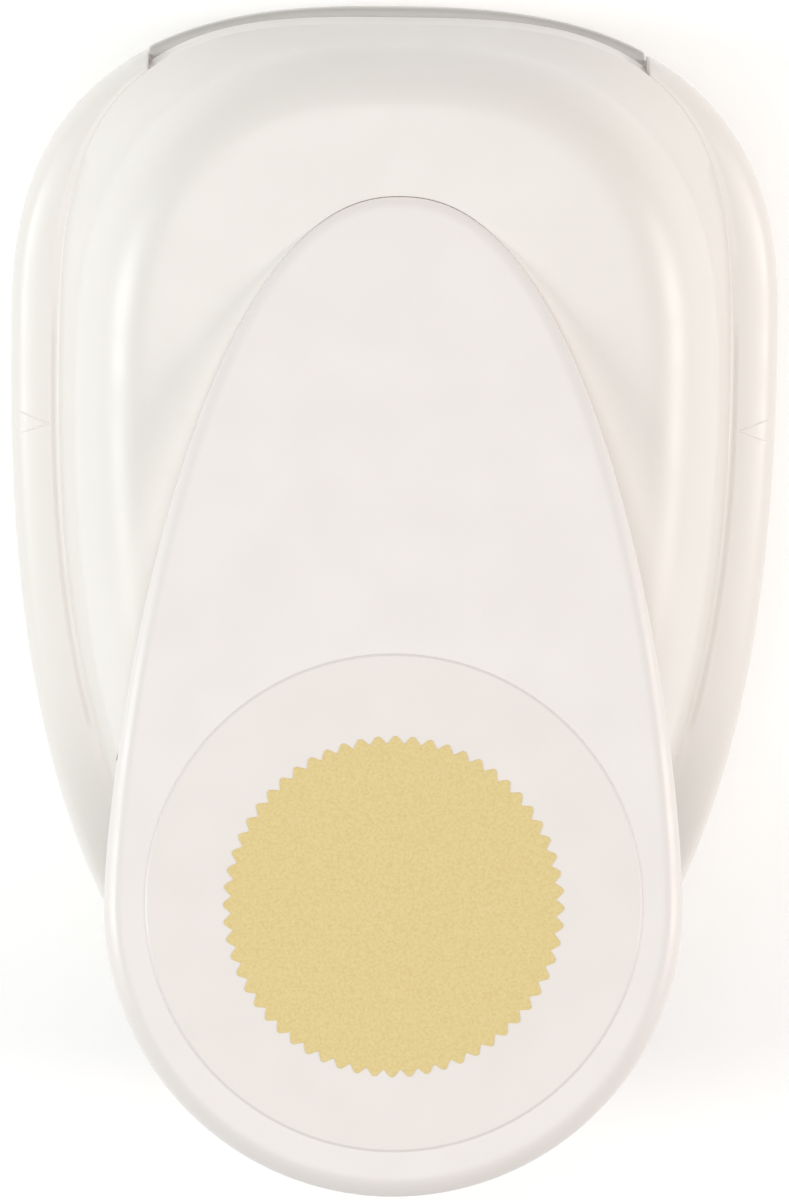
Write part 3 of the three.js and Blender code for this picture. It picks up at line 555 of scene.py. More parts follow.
leverInverse = leverPlace.inverted()
archLine = []
leverLine = leverOutline()
for plain, wider in zip(leverLine, insetOutline(leverLine, -1)):
    ahead = max(wider[1] - plain[1], 0)
    gap = cover["sideGap"] + (cover["noseGap"] - cover["sideGap"]) * ahead ** 2
    if plain[0] >= 0 and plain[1] > -lever["padBehind"]:
        archLine.append((plain[1] + (wider[1] - plain[1]) * gap, plain[0] + (wider[0] - plain[0]) * gap))
archLine.sort()
archUs, archXs = [u for u, x in archLine], [x for u, x in archLine]
wallTop, wallFoot = lever["top"] - lever["edgeDepths"][1], lever["bottom"] + lever["rimEdge"]


def inArch(point):
    # whether the arch's opening takes this point away: it hugs the lever's side walls all along their swing
    x, u, w = leverInverse @ point
    if point.z < rimZ or u >= archUs[-1]:
        return False
    reach, start = hypot(u, w), atan2(w, -u)
    spare = cover["lowGap"] * max(lever["bottom"] - w, 0)
    for i in range(cover["swingSteps"] + 1):
        turn = start + swing * i / cover["swingSteps"]
        level = reach * sin(turn)
        if level < lever["bottom"] - cover["underGap"]:
            continue
        lean = lever["drafts"][0] * min(max((wallTop - level) / (wallTop - wallFoot), 0), 1)
        if abs(x) < np.interp(-reach * cos(turn), archUs, archXs) - lean + spare:
            return True
    return False


def domePoint(angle, t, wall=0.0):
    # t runs up the wall from 0 to 1, over the shoulder to 2 and across the crown to 3; with a wall it is the inside
    egg, crown = eggs["dome"], cover["crown"]
    start, ceiling = creaseZ - wall / 2, domeTop - crown - wall
    if t <= 1:
        share, foot = (t, ledgeZ) if wall else (1 - (1 - t) ** cover["wallPower"], footZ)
        flat = eggPoint(eggs["foot"], angle, wall).lerp(eggPoint(egg, angle, wall), share)
        return Vector((flat.x, flat.y, foot + (start - foot) * t))
    firms = cover["shoulderSide"] + wall / 2, cover["shoulderFront"] + wall / 2
    if t <= 2:
        turn = (t - 1) * pi / 2
        side, end = [wall + (firm - wall) * (1 - cos(turn)) for firm in firms]
        z = start + (ceiling - start) * sin(turn)
    else:
        reaches = egg["half"], egg["front"] - egg["widest"]
        side, end = [firm + (reach - firm) * (t - 2) for firm, reach in zip(firms, reaches)]
        z = ceiling if wall else domeTop - crown * (3 - t) ** 2
    flat = eggPoint(egg, angle, side, end)
    return Vector((flat.x, flat.y, z))


def cutShare(angle, wall=0.0):
    # how far along its meridian the dome gets before the arch takes it away
    step, farthest, halvings = 0.02, 2.9, 14
    t = 0.0
    while t < farthest and not inArch(domePoint(angle, t + step, wall)):
        t += step
    low, high = t, t + step
    for _ in range(halvings):
        middle = (low + high) / 2
        if inArch(domePoint(angle, middle, wall)):
            high = middle
        else:
            low = middle
    return low


def spread(low, high, end, steps):
    stop = max(low, min(high, end))
    return [low + (stop - low) * i / steps if end > low else end for i in range(1, steps + 1)]


def domeStrip(angle):
    # one meridian of the dome: up the outside to the arch's edge, over it, and down the inside
    wall = cover["wall"]
    outerCut, innerCut = cutShare(angle), cutShare(angle, wall)
    outerEnd, innerEnd = domePoint(angle, outerCut), domePoint(angle, innerCut, wall)
    near, edge = 0.01, cover["archEdge"]
    speed = (outerEnd - domePoint(angle, outerCut - near)).length / near
    last = outerCut - edge / speed
    shares = [0.0] + spread(0, 1, last, cover["wallSteps"]) + spread(1, 2, last, cover["shoulderSteps"])
    shares += spread(2, 3, last, cover["crownSteps"])
    strip = [domePoint(angle, share) for share in shares]
    inward = (innerEnd - outerEnd).normalized()
    for turn in (30, 60, 90):
        back = edge * (1 - sin(radians(turn)))
        strip.append(domePoint(angle, outerCut - back / speed) + inward * edge * (1 - cos(radians(turn))))
    drop = max(strip[-1].z - innerEnd.z, 0)
    aside = (strip[-1].xy - innerEnd.xy).normalized() * drop * cover["archDraft"]
    strip.append(strip[-1] + Vector((aside.x, aside.y, -drop)))   # down beside the lever's wall
    strip.append(innerEnd)
    for low, steps in ((2, 3), (1, 6), (0, 3)):
        strip += [domePoint(angle, share, wall) for share in reversed(spread(low, low + 1, innerCut, steps))]
    strip.append(domePoint(angle, 0, wall))
    return strip


def grooveAt(y):
    if y < cover["grooveEnd"]:
        return 0.0
    fade = min(max((cover["grooveFront"] - y) / cover["grooveFade"], 0), 1)
    return cover["grooveDepth"] * fade * fade * (3 - 2 * fade)


def bandSection(bodyFlat, footFlat, inset=0.0):
    # the band's skin from under its outer edge, up its side and over its crest and groove to the dome's foot
    across = footFlat - bodyFlat
    width, direction = across.length, across / across.length
    rise, high = cover["bandHeight"] - cover["bandSide"], cover["bandHeight"]
    soft = cover["partingEdge"]
    line = [(soft, 0.0), (soft * rounding, soft * rounding)]
    line += [(0.0, up) for up in (soft, *cover["bandRows"])]
    line += [(share * width, cover["bandSide"] + up * rise) for share, up in cover["crestShares"]]
    floor, toe = cover["grooveFloor"] * width, cover["grooveToe"] * width
    halfway, atToe = cover["grooveRises"]
    depth = grooveAt(bodyFlat.lerp(footFlat, cover["grooveFloor"]).y)
    edgeIn, edgeDrop = cover["crestEdge"]
    line.append((edgeIn * width, high - edgeDrop * depth))
    line += [(floor, high - depth), ((floor + toe) / 2, high - depth * halfway)]
    toeZ = high - depth * atToe
    for turn in (0, 25, 50, 70):
        line.append((toe + (width - toe) * sin(radians(turn)),
                     toeZ + (high + cover["fillet"] - toeZ) * (1 - cos(radians(turn)))))
    if inset:
        line = insetSection(line, width, inset)
    return [Vector((*(bodyFlat + direction * along), coverFoot + up)) for along, up in line]


def insetSection(line, width, inset):
    moved = []
    for i, (along, up) in enumerate(line):
        before, after = line[max(i - 1, 0)], line[min(i + 1, len(line) - 1)]
        dx, dz = after[0] - before[0], after[1] - before[1]
        length = hypot(dx, dz) or 1
        weight = inset * min(1, (width - along) / (2 * inset))
        moved.append((along + dz / length * weight, max(up - dx / length * weight, 0)))
    return moved


def coverMeridian(bodyAngle, domeAngle, band, hollow, inset=0.0):
    # one closed section through the cover; without a band it is the dome's wall alone, down to the lip's slot
    bodyFlat = eggPoint(eggs["body"], bodyAngle)
    footFlat = domePoint(domeAngle, 0).xy
    inner = domePoint(domeAngle, 0, cover["wall"])
    innerFoot = Vector((inner.x, inner.y, coverFoot))
    section = bandSection(bodyFlat, footFlat, inset)
    if not band:
        outward = (footFlat - innerFoot.xy).normalized()
        tall, flare = cover["skirtHeight"], cover["skirtFlare"]
        heights = [min(point.z, footZ) - coverFoot for point in section]
        reaches = [flare * max(1 - height / tall, 0) ** 2 for height in heights]
        reaches[0] -= cover["partingEdge"]
        reaches[1] -= cover["partingEdge"] * rounding
        section = [Vector((*(footFlat + outward * reach), coverFoot + height))
                   for reach, height in zip(reaches, heights)]
    strip = domeStrip(domeAngle)
    insideFlat = bodyFlat + (footFlat - bodyFlat).normalized() * cover["wall"]
    if hollow:
        under = [Vector((*insideFlat, ledgeZ)), Vector((*insideFlat, coverFoot))]
    else:
        under = [innerFoot, innerFoot]
        strip[-1] = innerFoot
    return section + strip + under


def makeTopCover():
    body = eggs["body"]
    throat, edge, steps = cover["throatHalf"], cover["endEdge"], cover["sideMeridians"]
    bodyEnd, domeEnd = angleAtSide(body, throat), angleAtSide(eggs["foot"], throat)

    def matched(bodyAngle):
        # the dome's angle for a body angle, so that both lie in one plane where the band ends
        if bodyAngle <= 0:
            return bodyAngle
        return bodyAngle - (bodyEnd - domeEnd) * (bodyAngle / bodyEnd) ** 2

    wallAngle = angleAtSide(body, throat + cover["wall"])
    stops = [(bodyEnd, True, False, edge),
             (angleAtSide(body, throat + rounding * edge), True, False, rounding * edge),
             (angleAtSide(body, throat + edge), True, False, 0.0), (wallAngle, True, False, 0.0)]
    stops += [(wallAngle - (wallAngle + pi / 2) * i / steps, True, True, 0.0) for i in range(steps)]
    right = [coverMeridian(angle, matched(angle), band, hollow, inset) for angle, band, hollow, inset in stops]
    rear = [coverMeridian(-pi / 2, -pi / 2, True, True)]
    left = [[Vector((-p.x, p.y, p.z)) for p in section] for section in reversed(right)]
    front = []
    for i in range(cover["frontMeridians"] + 1):
        angle = pi - domeEnd - (pi - 2 * domeEnd) * i / cover["frontMeridians"]
        front.append(coverMeridian(angle, angle, False, False))
    return skinRings("cover_shell", right + rear + left + front, whiteShell, loop=True, sharp=28)


marks = {"width": 0.28, "depth": 0.12, "over": 0.2, "angle": 20.0, "apexIn": 4.35, "outerIn": 1.0, "steps": 14}


def bandHeightAt(share):
    crest = cover["crestShares"]
    rise = cover["bandHeight"] - cover["bandSide"]
    return coverFoot + cover["bandSide"] + rise * np.interp(share, [s for s, _ in crest], [up for _, up in crest])


def makeMarkCutters():
    # two fine V grooves, one on each side level with the punch axis, that keep the same depth over the band's curve
    bandWidth = eggs["body"]["half"] - eggs["foot"]["half"]
    slope = tan(radians(marks["angle"]))
    half = marks["width"] / 2 * (1 + marks["over"] / marks["depth"])
    cutters = []
    for side, end in ((-1, -1), (-1, 1), (1, -1), (1, 1)):
        rings = []
        for i in range(marks["steps"] + 1):
            inset = marks["apexIn"] + (marks["outerIn"] - marks["apexIn"]) * i / marks["steps"]
            x = side * (eggs["body"]["half"] - inset)
            y = punchY + end * slope * (marks["apexIn"] - inset)
            skin = bandHeightAt(inset / bandWidth)
            rings.append([Vector((x, y - half, skin + marks["over"])), Vector((x, y, skin - marks["depth"])),
                          Vector((x, y + half, skin + marks["over"]))])
        cutters.append(skinRings("mark_cutter", rings, whiteShell))
    return cutters


deck = {"front": punchY - 31.6, "steps": 96, "wallShare": 0.15, "widthShare": 1.01, "behind": 0.4, "edge": 0.2}


def makeCoverDeck():
    # the shelf that closes the tail under the pad, let into the dome's rear wall
    steps, share = deck["steps"], deck["wallShare"]
    inside = [domePoint(-pi * i / steps, share, cover["wall"]) for i in range(steps + 1)]
    outline = [(p.x * deck["widthShare"], p.y - deck["behind"]) for p in reversed(inside) if p.y < deck["front"]]
    outline += [(outline[-1][0], deck["front"]), (outline[0][0], deck["front"])]
    return plateOf("cover_deck", outline, ledgeZ, ledgeZ + cover["wall"], deck["edge"], whiteShell)


coverShell = cutWith(makeTopCover(), makeMarkCutters(), sharp=28)
settle(coverShell, "housing", "white_plastic", "top_cover")
settle(makeCoverDeck(), "housing", "white_plastic", "top_cover")
print("stage: cover made,", len(coverShell.data.polygons), "faces")

# ---- base housing: tray with a rounded foot, a front notch for the die's lip, and holes underneath

base = {
    "inset": coverHigh.x - baseHigh.x,
    "footEdge": 1.2,
    "sideRow": 5.0,
    "rimEdge": 0.3,
    "wall": 2.2,
    "floor": 2.4,
    "innerFillet": 0.6,
    "notchTop": dieHigh.z - 3.1,   # under the die's 2.8 mm lip, with 0.3 mm of room
    "meridians": 288,
    "windowRadius": 28.0,
    "windowEdge": 0.5,
    "postRadius": 3.2,
    "headHole": 2.95,
    "holeEdge": 0.3,
    "overcut": 0.5,
    "housingScrewSeat": 5.0,
    "dieScrewSeat": 1.2,
}


def screwPlaces(kind):
    boxes = [boxOf(node) for node in numbered(kind + "_screw", 4)]
    return [((low.x + high.x) / 2, (low.y + high.y) / 2) for low, high in boxes]


def makeBase():
    body, sideSteps = eggs["body"], base["meridians"]
    frontSteps = sideSteps // 4
    end = angleAtSide(body, cover["throatHalf"], base["inset"])
    stops = [(pi - end + (pi + 2 * end) * i / sideSteps, baseHigh.z) for i in range(sideSteps + 1)]
    stops += [(end + (pi - 2 * end) * i / frontSteps, base["notchTop"]) for i in range(frontSteps + 1)]
    outline = [eggPoint(body, angle, base["inset"]) for angle, _ in stops]
    foot, rim, wall = base["footEdge"], base["rimEdge"], base["wall"]
    turns = [radians(turn) for turn in (0, 22.5, 45, 67.5, 90)]
    levels = [(foot * (1 - sin(turn)), foot * (1 - cos(turn)), False) for turn in turns]
    levels += [(0, base["sideRow"], False), (0, -rim, True), (rim * rounding, -rim * rounding, True), (rim, 0, True),
               (wall, 0, True), (wall, base["floor"] + base["innerFillet"], False),
               (wall + base["innerFillet"], base["floor"], False)]
    rings = []
    for inset, height, fromTop in levels:
        ring = []
        for i, (point, (_, top)) in enumerate(zip(outline, stops)):
            along = (outline[(i + 2) % len(outline)] - outline[i - 2]).normalized()
            z = top + height if fromTop else height
            ring.append(Vector((point.x - along.y * inset, point.y + along.x * inset, z)))
        rings.append(ring)
    return skinRings("base_tray", rings, whiteShell, sharp=30)


def holeCutters(radius, high, edge, places):
    # straight holes up from the table side, with a small edge broken round each mouth
    over = base["overcut"]
    profile = [(radius + edge + over, -over), (radius + edge, 0.0), (radius + rounding * edge, rounding * edge),
               (radius, edge), (radius, high)]
    return lathesAt(places, profile, whiteShell, 64)


def drillBase(tray):
    profile = [(base["postRadius"], base["floor"] / 2), (base["postRadius"], baseHigh.z)]
    cutWith(tray, [joinAll("posts", lathesAt(screwPlaces("housing"), profile, whiteShell))], "UNION")
    above = base["floor"] + 2 * base["overcut"]
    holes = holeCutters(base["windowRadius"], above, base["windowEdge"], [(0, punchY)])
    for kind, high in (("housing", base["housingScrewSeat"]), ("die", above)):
        holes += holeCutters(base["headHole"], high, base["holeEdge"], screwPlaces(kind))
    return cutWith(tray, holes)


tray = settle(drillBase(makeBase()), "housing", "white_plastic", "base_housing")
print("stage: base made,", len(tray.data.polygons), "faces")

# ---- geometry trees, and the tooth outline: what the punch cuts, and the same outline on the lever's label


def newTree(name, kinds):
    # a geometry tree with a socket of the given kind for each value that it takes, and one for its finish
    tree = bpy.data.node_groups.new(name, "GeometryNodeTree")
    tree.interface.new_socket("Geometry", in_out="OUTPUT", socket_type="NodeSocketGeometry")
    for title, kind in {"Geometry": "Geometry", **kinds, "Finish": "Material"}.items():
        tree.interface.new_socket(title, in_out="INPUT", socket_type="NodeSocket" + kind)
    return tree, addNode(tree, "NodeGroupInput").outputs


def dress(tree, geometry, finish):
    real = addNode(tree, "GeometryNodeRealizeInstances", inputs={"Geometry": geometry})
    dressed = addNode(tree, "GeometryNodeSetMaterial", inputs={"Geometry": real.outputs[0], "Material": finish})
    addNode(tree, "NodeGroupOutput", inputs={"Geometry": dressed.outputs[0]})


def grow(name, tree, values, places=((0, 0, 0),), place=None, sharp=35):
    # runs a geometry tree on a mesh of bare points and keeps the result as a plain mesh
    piece = newPiece(name, places)
    change = piece.modifiers.new("grow", "NODES")
    change.node_group = tree
    for socket in tree.interface.items_tree:
        if socket.in_out == "INPUT" and socket.name in values:
            change[socket.identifier] = values[socket.name]
    bake(piece)
    if place:
        piece.data.transform(Matrix.Scale(mm, 4) @ place @ Matrix.Scale(1 / mm, 4))
    return shade(piece, sharp)


teeth = {"count": 60, "across": 50.0, "depth": 1.15, "tipShare": 0.2, "pointsEach": 12, "labelAcross": 36.0}


def toothedDiscTree():
    # a ring of points pulled in between the teeth, then raised to a disc with a broken top edge
    tree, given = newTree("toothed disc", {
        "Teeth": "Int", "Points per tooth": "Int", "Tip radius": "Float", "Tooth depth": "Float",
        "Tip share": "Float", "Thickness": "Float", "Edge": "Float"})

    def calculate(operation, *values, clamp=False):
        inputs = dict(enumerate(values))
        return addNode(tree, "ShaderNodeMath", {"operation": operation, "use_clamp": clamp}, inputs).outputs[0]

    around = calculate("MULTIPLY", given["Teeth"], given["Points per tooth"])
    circle = addNode(tree, "GeometryNodeMeshCircle", {"fill_type": "NGON"}, {
        "Vertices": around, "Radius": given["Tip radius"]})
    index = addNode(tree, "GeometryNodeInputIndex").outputs[0]
    turn = calculate("FRACT", calculate("DIVIDE", index, given["Points per tooth"]))
    fromTip = calculate("SUBTRACT", 1.0, calculate("ABSOLUTE", calculate("MULTIPLY_ADD", turn, 2.0, -1.0)))
    past = calculate("SUBTRACT", fromTip, given["Tip share"])
    drop = calculate("DIVIDE", past, calculate("SUBTRACT", 1.0, given["Tip share"]), clamp=True)
    pull = calculate("DIVIDE", calculate("MULTIPLY", drop, given["Tooth depth"]), given["Tip radius"])
    place = addNode(tree, "GeometryNodeInputPosition").outputs[0]
    shrink = addNode(tree, "ShaderNodeVectorMath", {"operation": "SCALE"}, {
        0: place, "Scale": calculate("SUBTRACT", 1.0, pull)}).outputs[0]
    flat = addNode(tree, "GeometryNodeSetPosition", inputs={"Geometry": circle.outputs["Mesh"], "Position": shrink})
    straight = calculate("SUBTRACT", given["Thickness"], given["Edge"])
    up = addNode(tree, "ShaderNodeCombineXYZ", inputs={"Z": 1.0}).outputs[0]
    side = addNode(tree, "GeometryNodeExtrudeMesh", {"mode": "FACES"}, {
        "Mesh": flat.outputs[0], "Offset": up, "Offset Scale": straight, "Individual": False})
    chamfer = addNode(tree, "GeometryNodeExtrudeMesh", {"mode": "FACES"}, {
        "Mesh": side.outputs["Mesh"], "Selection": side.outputs["Top"], "Offset": up,
        "Offset Scale": given["Edge"], "Individual": False})
    share = calculate("SUBTRACT", 1.0, calculate("DIVIDE", given["Edge"], given["Tip radius"]))
    topped = addNode(tree, "GeometryNodeScaleElements", inputs={
        "Geometry": chamfer.outputs["Mesh"], "Selection": chamfer.outputs["Top"], "Scale": share})
    under = addNode(tree, "GeometryNodeFlipFaces", inputs={"Mesh": flat.outputs[0]})
    joined = addNode(tree, "GeometryNodeJoinGeometry")
    tree.links.new(topped.outputs[0], joined.inputs[0])
    tree.links.new(under.outputs[0], joined.inputs[0])
    welded = addNode(tree, "GeometryNodeMergeByDistance", inputs={"Geometry": joined.outputs[0], "Distance": 1e-6})
    dress(tree, welded.outputs[0], given["Finish"])
    return tree


toothedDisc = toothedDiscTree()


def makeToothed(name, across, thickness, edge, finish, place):
    shrink = across / teeth["across"]
    return grow(name, toothedDisc, {
        "Teeth": teeth["count"], "Points per tooth": teeth["pointsEach"], "Tip radius": across / 2 * mm,
        "Tooth depth": teeth["depth"] * shrink * mm, "Tip share": teeth["tipShare"],
        "Thickness": thickness * mm, "Edge": edge * mm, "Finish": finish}, place=place)


# ---- lever cap, its inlay disc and the gold outline printed on it

inlay = {"ahead": 0.45, "rim": 4.3, "seatDepth": 0.9, "seatGap": 0.002, "proud": 0.16, "bevel": 0.26, "flat": 0.3,
         "low": 6.2, "footEdge": 0.1}
inlay["high"] = lever["top"] + inlay["proud"]
discU = inlay["ahead"] - lever["padBehind"]
discRadius = lever["padRadius"] - inlay["rim"]
foil = {"behind": 0.4, "thickness": 0.06, "edge": 0.02}


def makeLeverCap():
    outline = leverOutline()
    wall, rim, fillet = lever["wall"], lever["rimEdge"], lever["innerFillet"]
    top, bottom, ceiling = lever["top"], lever["bottom"], lever["ceiling"]
    levels = [(wall + fillet, ceiling), (wall + rounding * fillet, ceiling - rounding * fillet),
              (wall, ceiling - fillet), (wall, bottom + rim), (wall - rounding * rim, bottom + rounding * rim),
              (wall - rim, bottom), (rim, bottom), (rounding * rim, bottom + rounding * rim), (0.0, bottom + rim)]

    def along(sizes, stop, start):
        # a size for each point, between its value at the front and its value at the pad
        return [float(np.interp(u, (lever[stop], lever[start]), lever[sizes][::-1])) for _, u in outline]

    drafts = along("drafts", "draftTo", "draftFrom")
    rings = [[Vector((x, u, w)) for x, u in insetOutline(outline, [inset + draft for draft in drafts])]
             for inset, w in levels]
    depths, widths = [along(sizes, "edgeTo", "edgeFrom") for sizes in ("edgeDepths", "edgeWidths")]
    for across, up in lever["edgeShares"]:
        inner = insetOutline(outline, [width * across for width in widths])
        rings.append([Vector((x, u, top - depth * (1 - up))) for (x, u), depth in zip(inner, depths)])
    seat = discRadius + inlay["seatGap"]
    turns = [atan2(u - discU, x) for x, u in outline]
    for radius, w in ((seat + inlay["flat"], top), (seat, top), (seat, top - inlay["seatDepth"])):
        rings.append([Vector((radius * cos(turn), discU + radius * sin(turn), w)) for turn in turns])
    cap = skinRings("lever_shell", [[leverPlace @ point for point in ring] for ring in rings], whiteLever, sharp=32)
    half, over = lever["armHalf"] + lever["armRoom"], lever["overcut"]
    mouth = plateOf("mouth_cutter", boxOutline(-half, -lever["mouth"] - lever["noseBehind"], half, over),
                    bottom - over, lever["webTop"] + lever["mouthRoom"], cutterEdge, whiteLever, leverPlace)
    return cutWith(cap, [mouth], sharp=32)


ribs = {"thickness": 1.5, "drop": 3.0, "apart": 5.0, "edge": 0.25, "overlap": 0.5}


def makeCapRibs():
    # two ribs on each side of the arm stiffen the pad from below
    pieces = []
    inner, low = lever["armHalf"] + lever["armRoom"], lever["ceiling"] - ribs["drop"]
    for offset in (-ribs["apart"], ribs["apart"]):
        u = offset - lever["padBehind"]
        reach = sqrt((lever["padRadius"] - lever["wall"]) ** 2 - (abs(offset) + ribs["thickness"]) ** 2)
        for side in (-1, 1):
            near, far = sorted((side * inner, side * reach))
            pieces.append(plateOf("rib", boxOutline(near, u, far, u + ribs["thickness"]), low,
                                  lever["ceiling"] + ribs["overlap"], ribs["edge"], whiteLever, leverPlace))
    return joinAll("lever_ribs", pieces)


def makeInlayDisc():
    low, high, edge = inlay["low"], inlay["high"], inlay["footEdge"]
    shoulder = discRadius - inlay["bevel"]
    profile = [(0.0, low), (discRadius - edge, low), (discRadius, low + edge), (discRadius, lever["top"]),
               (shoulder, high), (shoulder - inlay["flat"], high), (0.0, high)]
    return lathe("inlay_disc", profile, discPlastic, 144, leverPlace @ Matrix.Translation((0, discU, 0)), sharp=20)


settle(makeLeverCap(), "lever", "white_plastic", "lever_cap")
settle(makeCapRibs(), "lever", "white_plastic", "lever_cap")
settle(makeInlayDisc(), "lever", "white_label", "label_disc")
printPlace = leverPlace @ Matrix.Translation((0, discU - foil["behind"], inlay["high"]))
goldRing = makeToothed("gold_toothed_print", teeth["labelAcross"], foil["thickness"], foil["edge"], goldPrint,
                       printPlace)
settle(goldRing, "lever", "matt_gold", "gold_label")
print("stage: lever made")

# ---- lever arm, press pin and pivot

arm = {
    "cheek": 1.6,
    "drop": 1.2,
    "tail": -90.5,
    "tailDrop": 1.0,
    "pinRadius": 3.2,
    "pinRoom": 0.3,
    "pivotPin": 2.0,
    "edge": 0.2,
    "webInset": 0.3,
    "webBehind": 0.1,
    "webBelow": 0.02,
    "bellySteps": 24,
}
clip = {"outer": 4.15, "inner": 2.15, "thickness": 0.8, "edge": 0.12, "mouth": 56.0, "steps": 32}


def cheekOutline():
    boss = lever["bossRadius"]
    bottom = lever["pinW"] - arm["pinRadius"] - arm["pinRoom"] - arm["drop"]
    tail, heel = arm["tail"], lever["pinU"] - arm["pinRadius"]
    rear = lever["webBottom"] - arm["tailDrop"]
    points = arcPoints(boss, -pi / 2, pi / 2, 16)
    points += [(-lever["noseBehind"] - boss, lever["webTop"]), (tail, lever["webTop"]), (tail, rear)]
    middle = (tail + heel) / 2
    for i in range(1, arm["bellySteps"] + 1):
        t = i / arm["bellySteps"]
        u = (1 - t) ** 2 * tail + 2 * t * (1 - t) * middle + t * t * heel
        w = (1 - t) ** 2 * rear + 2 * t * (1 - t) * bottom + t * t * bottom
        points.append((u, w))
    points.append((lever["pinU"] + 2 * arm["pinRadius"], bottom))
    return points


def makeLeverArm():
    # two cheeks under a flat web, as folded from one sheet
    pieces = [plateOf("cheek", cheekOutline(), low, low + arm["cheek"], arm["edge"], platedSteel,
                      leverPlace @ sideways)
              for low in (-lever["armHalf"], lever["armHalf"] - arm["cheek"])]
    half = lever["armHalf"] - arm["webInset"]
    web = boxOutline(-half, arm["tail"] + arm["webBehind"], half, -lever["noseBehind"] - lever["bossRadius"])
    sheet = plateOf("lever_channel", web, lever["webBottom"], lever["webTop"] - arm["webBelow"], arm["edge"],
                    platedSteel, leverPlace)
    return cutWith(sheet, pieces, "UNION", sharp=30)


def crossPin(name, radius, half, y, z, finish, edge=0.4):
    place = Matrix.Translation((0, y, z)) @ Matrix.Rotation(pi / 2, 4, "Y")
    return lathe(name, pinProfile(radius, -half, half, edge), finish, 48, place)


def makeClip(side):
    # a snap ring with its open mouth forward, in a groove at the pin's end
    start, end = radians(clip["mouth"] / 2), radians(360 - clip["mouth"] / 2)
    outline = arcPoints(clip["outer"], start, end, clip["steps"])
    outline += arcPoints(clip["inner"], end, start, clip["steps"])
    place = Matrix.Translation((0, pivotY, pivotZ)) @ sideways
    low = boxOf("pivot_clip_" + side)[0].x
    return plateOf("snap_ring_" + side, outline, low, low + clip["thickness"], clip["edge"], darkScrewSteel, place)


settle(makeLeverArm(), "lever", "dark_steel", "lever_arm")
pressPlace = leverPlace @ Vector((0, lever["pinU"], lever["pinW"]))
pressHigh, pivotHigh = boxOf("press_pin")[1].x, boxOf("pivot_pin")[1].x
settle(crossPin("press_roller", arm["pinRadius"], pressHigh, pressPlace.y, pressPlace.z, groundSteel),
       "lever", "bright_steel", "press_pin")
settle(crossPin("pivot_shaft", arm["pivotPin"], pivotHigh, pivotY, pivotZ, groundSteel, 0.3),
       "housing", "bright_steel", "pivot_pin")
settle(makeClip("left"), "housing", "dark_steel", "pivot_clip_left")
settle(makeClip("right"), "housing", "dark_steel", "pivot_clip_right")

# ---- die casting with its grey lip, and the punch with its carrier

die = {"lipThickness": 2.8, "lipEdge": (1.3, 0.5), "lipFoot": 0.4, "lipHalf": 26.93, "lipSteps": 96, "lipBack": 12.0,
       "lipCorner": 0.3, "landHeight": 5.0, "relief": 1.2, "side": 31.45, "behind": 31.0, "inset": 3.1, "edge": 0.25,
       "around": 720}


def toothedBy(extra):
    # the toothed outline's radius for a turn, with a little extra all round
    def radiusAt(angle):
        fromTip = 1 - abs(2 * ((angle / (2 * pi) * teeth["count"]) % 1) - 1)
        share = min(max((fromTip - teeth["tipShare"]) / (1 - teeth["tipShare"]), 0), 1)
        return teeth["across"] / 2 + extra - teeth["depth"] * share

    return radiusAt


def castOutline(egg, inset):
    # distance from the punch axis to a casting's edge, for a turn round that axis
    front = [eggPoint(egg, pi * i / 360, inset) for i in range(361)]
    fronts = sorted((atan2(p.y - punchY, p.x), hypot(p.x, p.y - punchY)) for p in front)
    turns, reaches = [t for t, _ in fronts], [r for _, r in fronts]

    def reach(angle):
        along, across = sin(angle), cos(angle)
        limit = die["behind"] / -along if along < 0 else float(np.interp(atan2(along, across), turns, reaches))
        return min(die["side"] / max(abs(across), 1e-6), limit)

    return reach


def ringAt(height, radiusAt):
    # points round the punch axis, each at the radius for its turn
    ring = []
    for i in range(die["around"]):
        angle = 2 * pi * i / die["around"]
        radius = radiusAt(angle)
        ring.append(Vector((radius * cos(angle), punchY + radius * sin(angle), height)))
    return ring


def castingRings(reach, low, high, edge):
    # a casting's outer side and its top, down into its toothed hole
    return [ringAt(low, lambda angle: reach(angle) - edge), ringAt(low + edge, reach),
            ringAt(high - edge, reach), ringAt(high, lambda angle: reach(angle) - edge),
            ringAt(high, toothedBy(edge)), ringAt(high - edge, toothedBy(0.0))]


def makeDiePlate():
    reach = castOutline(eggs["body"], die["inset"])
    land = dieHigh.z - die["landHeight"]
    rings = castingRings(reach, dieLow.z, dieHigh.z, die["edge"]) + [ringAt(land, toothedBy(0.0))]
    rings += [ringAt(height, lambda angle: teeth["across"] / 2 + die["relief"]) for height in (land, dieLow.z)]
    return skinRings("die_plate", rings, zincCasting, loop=True, sharp=30)


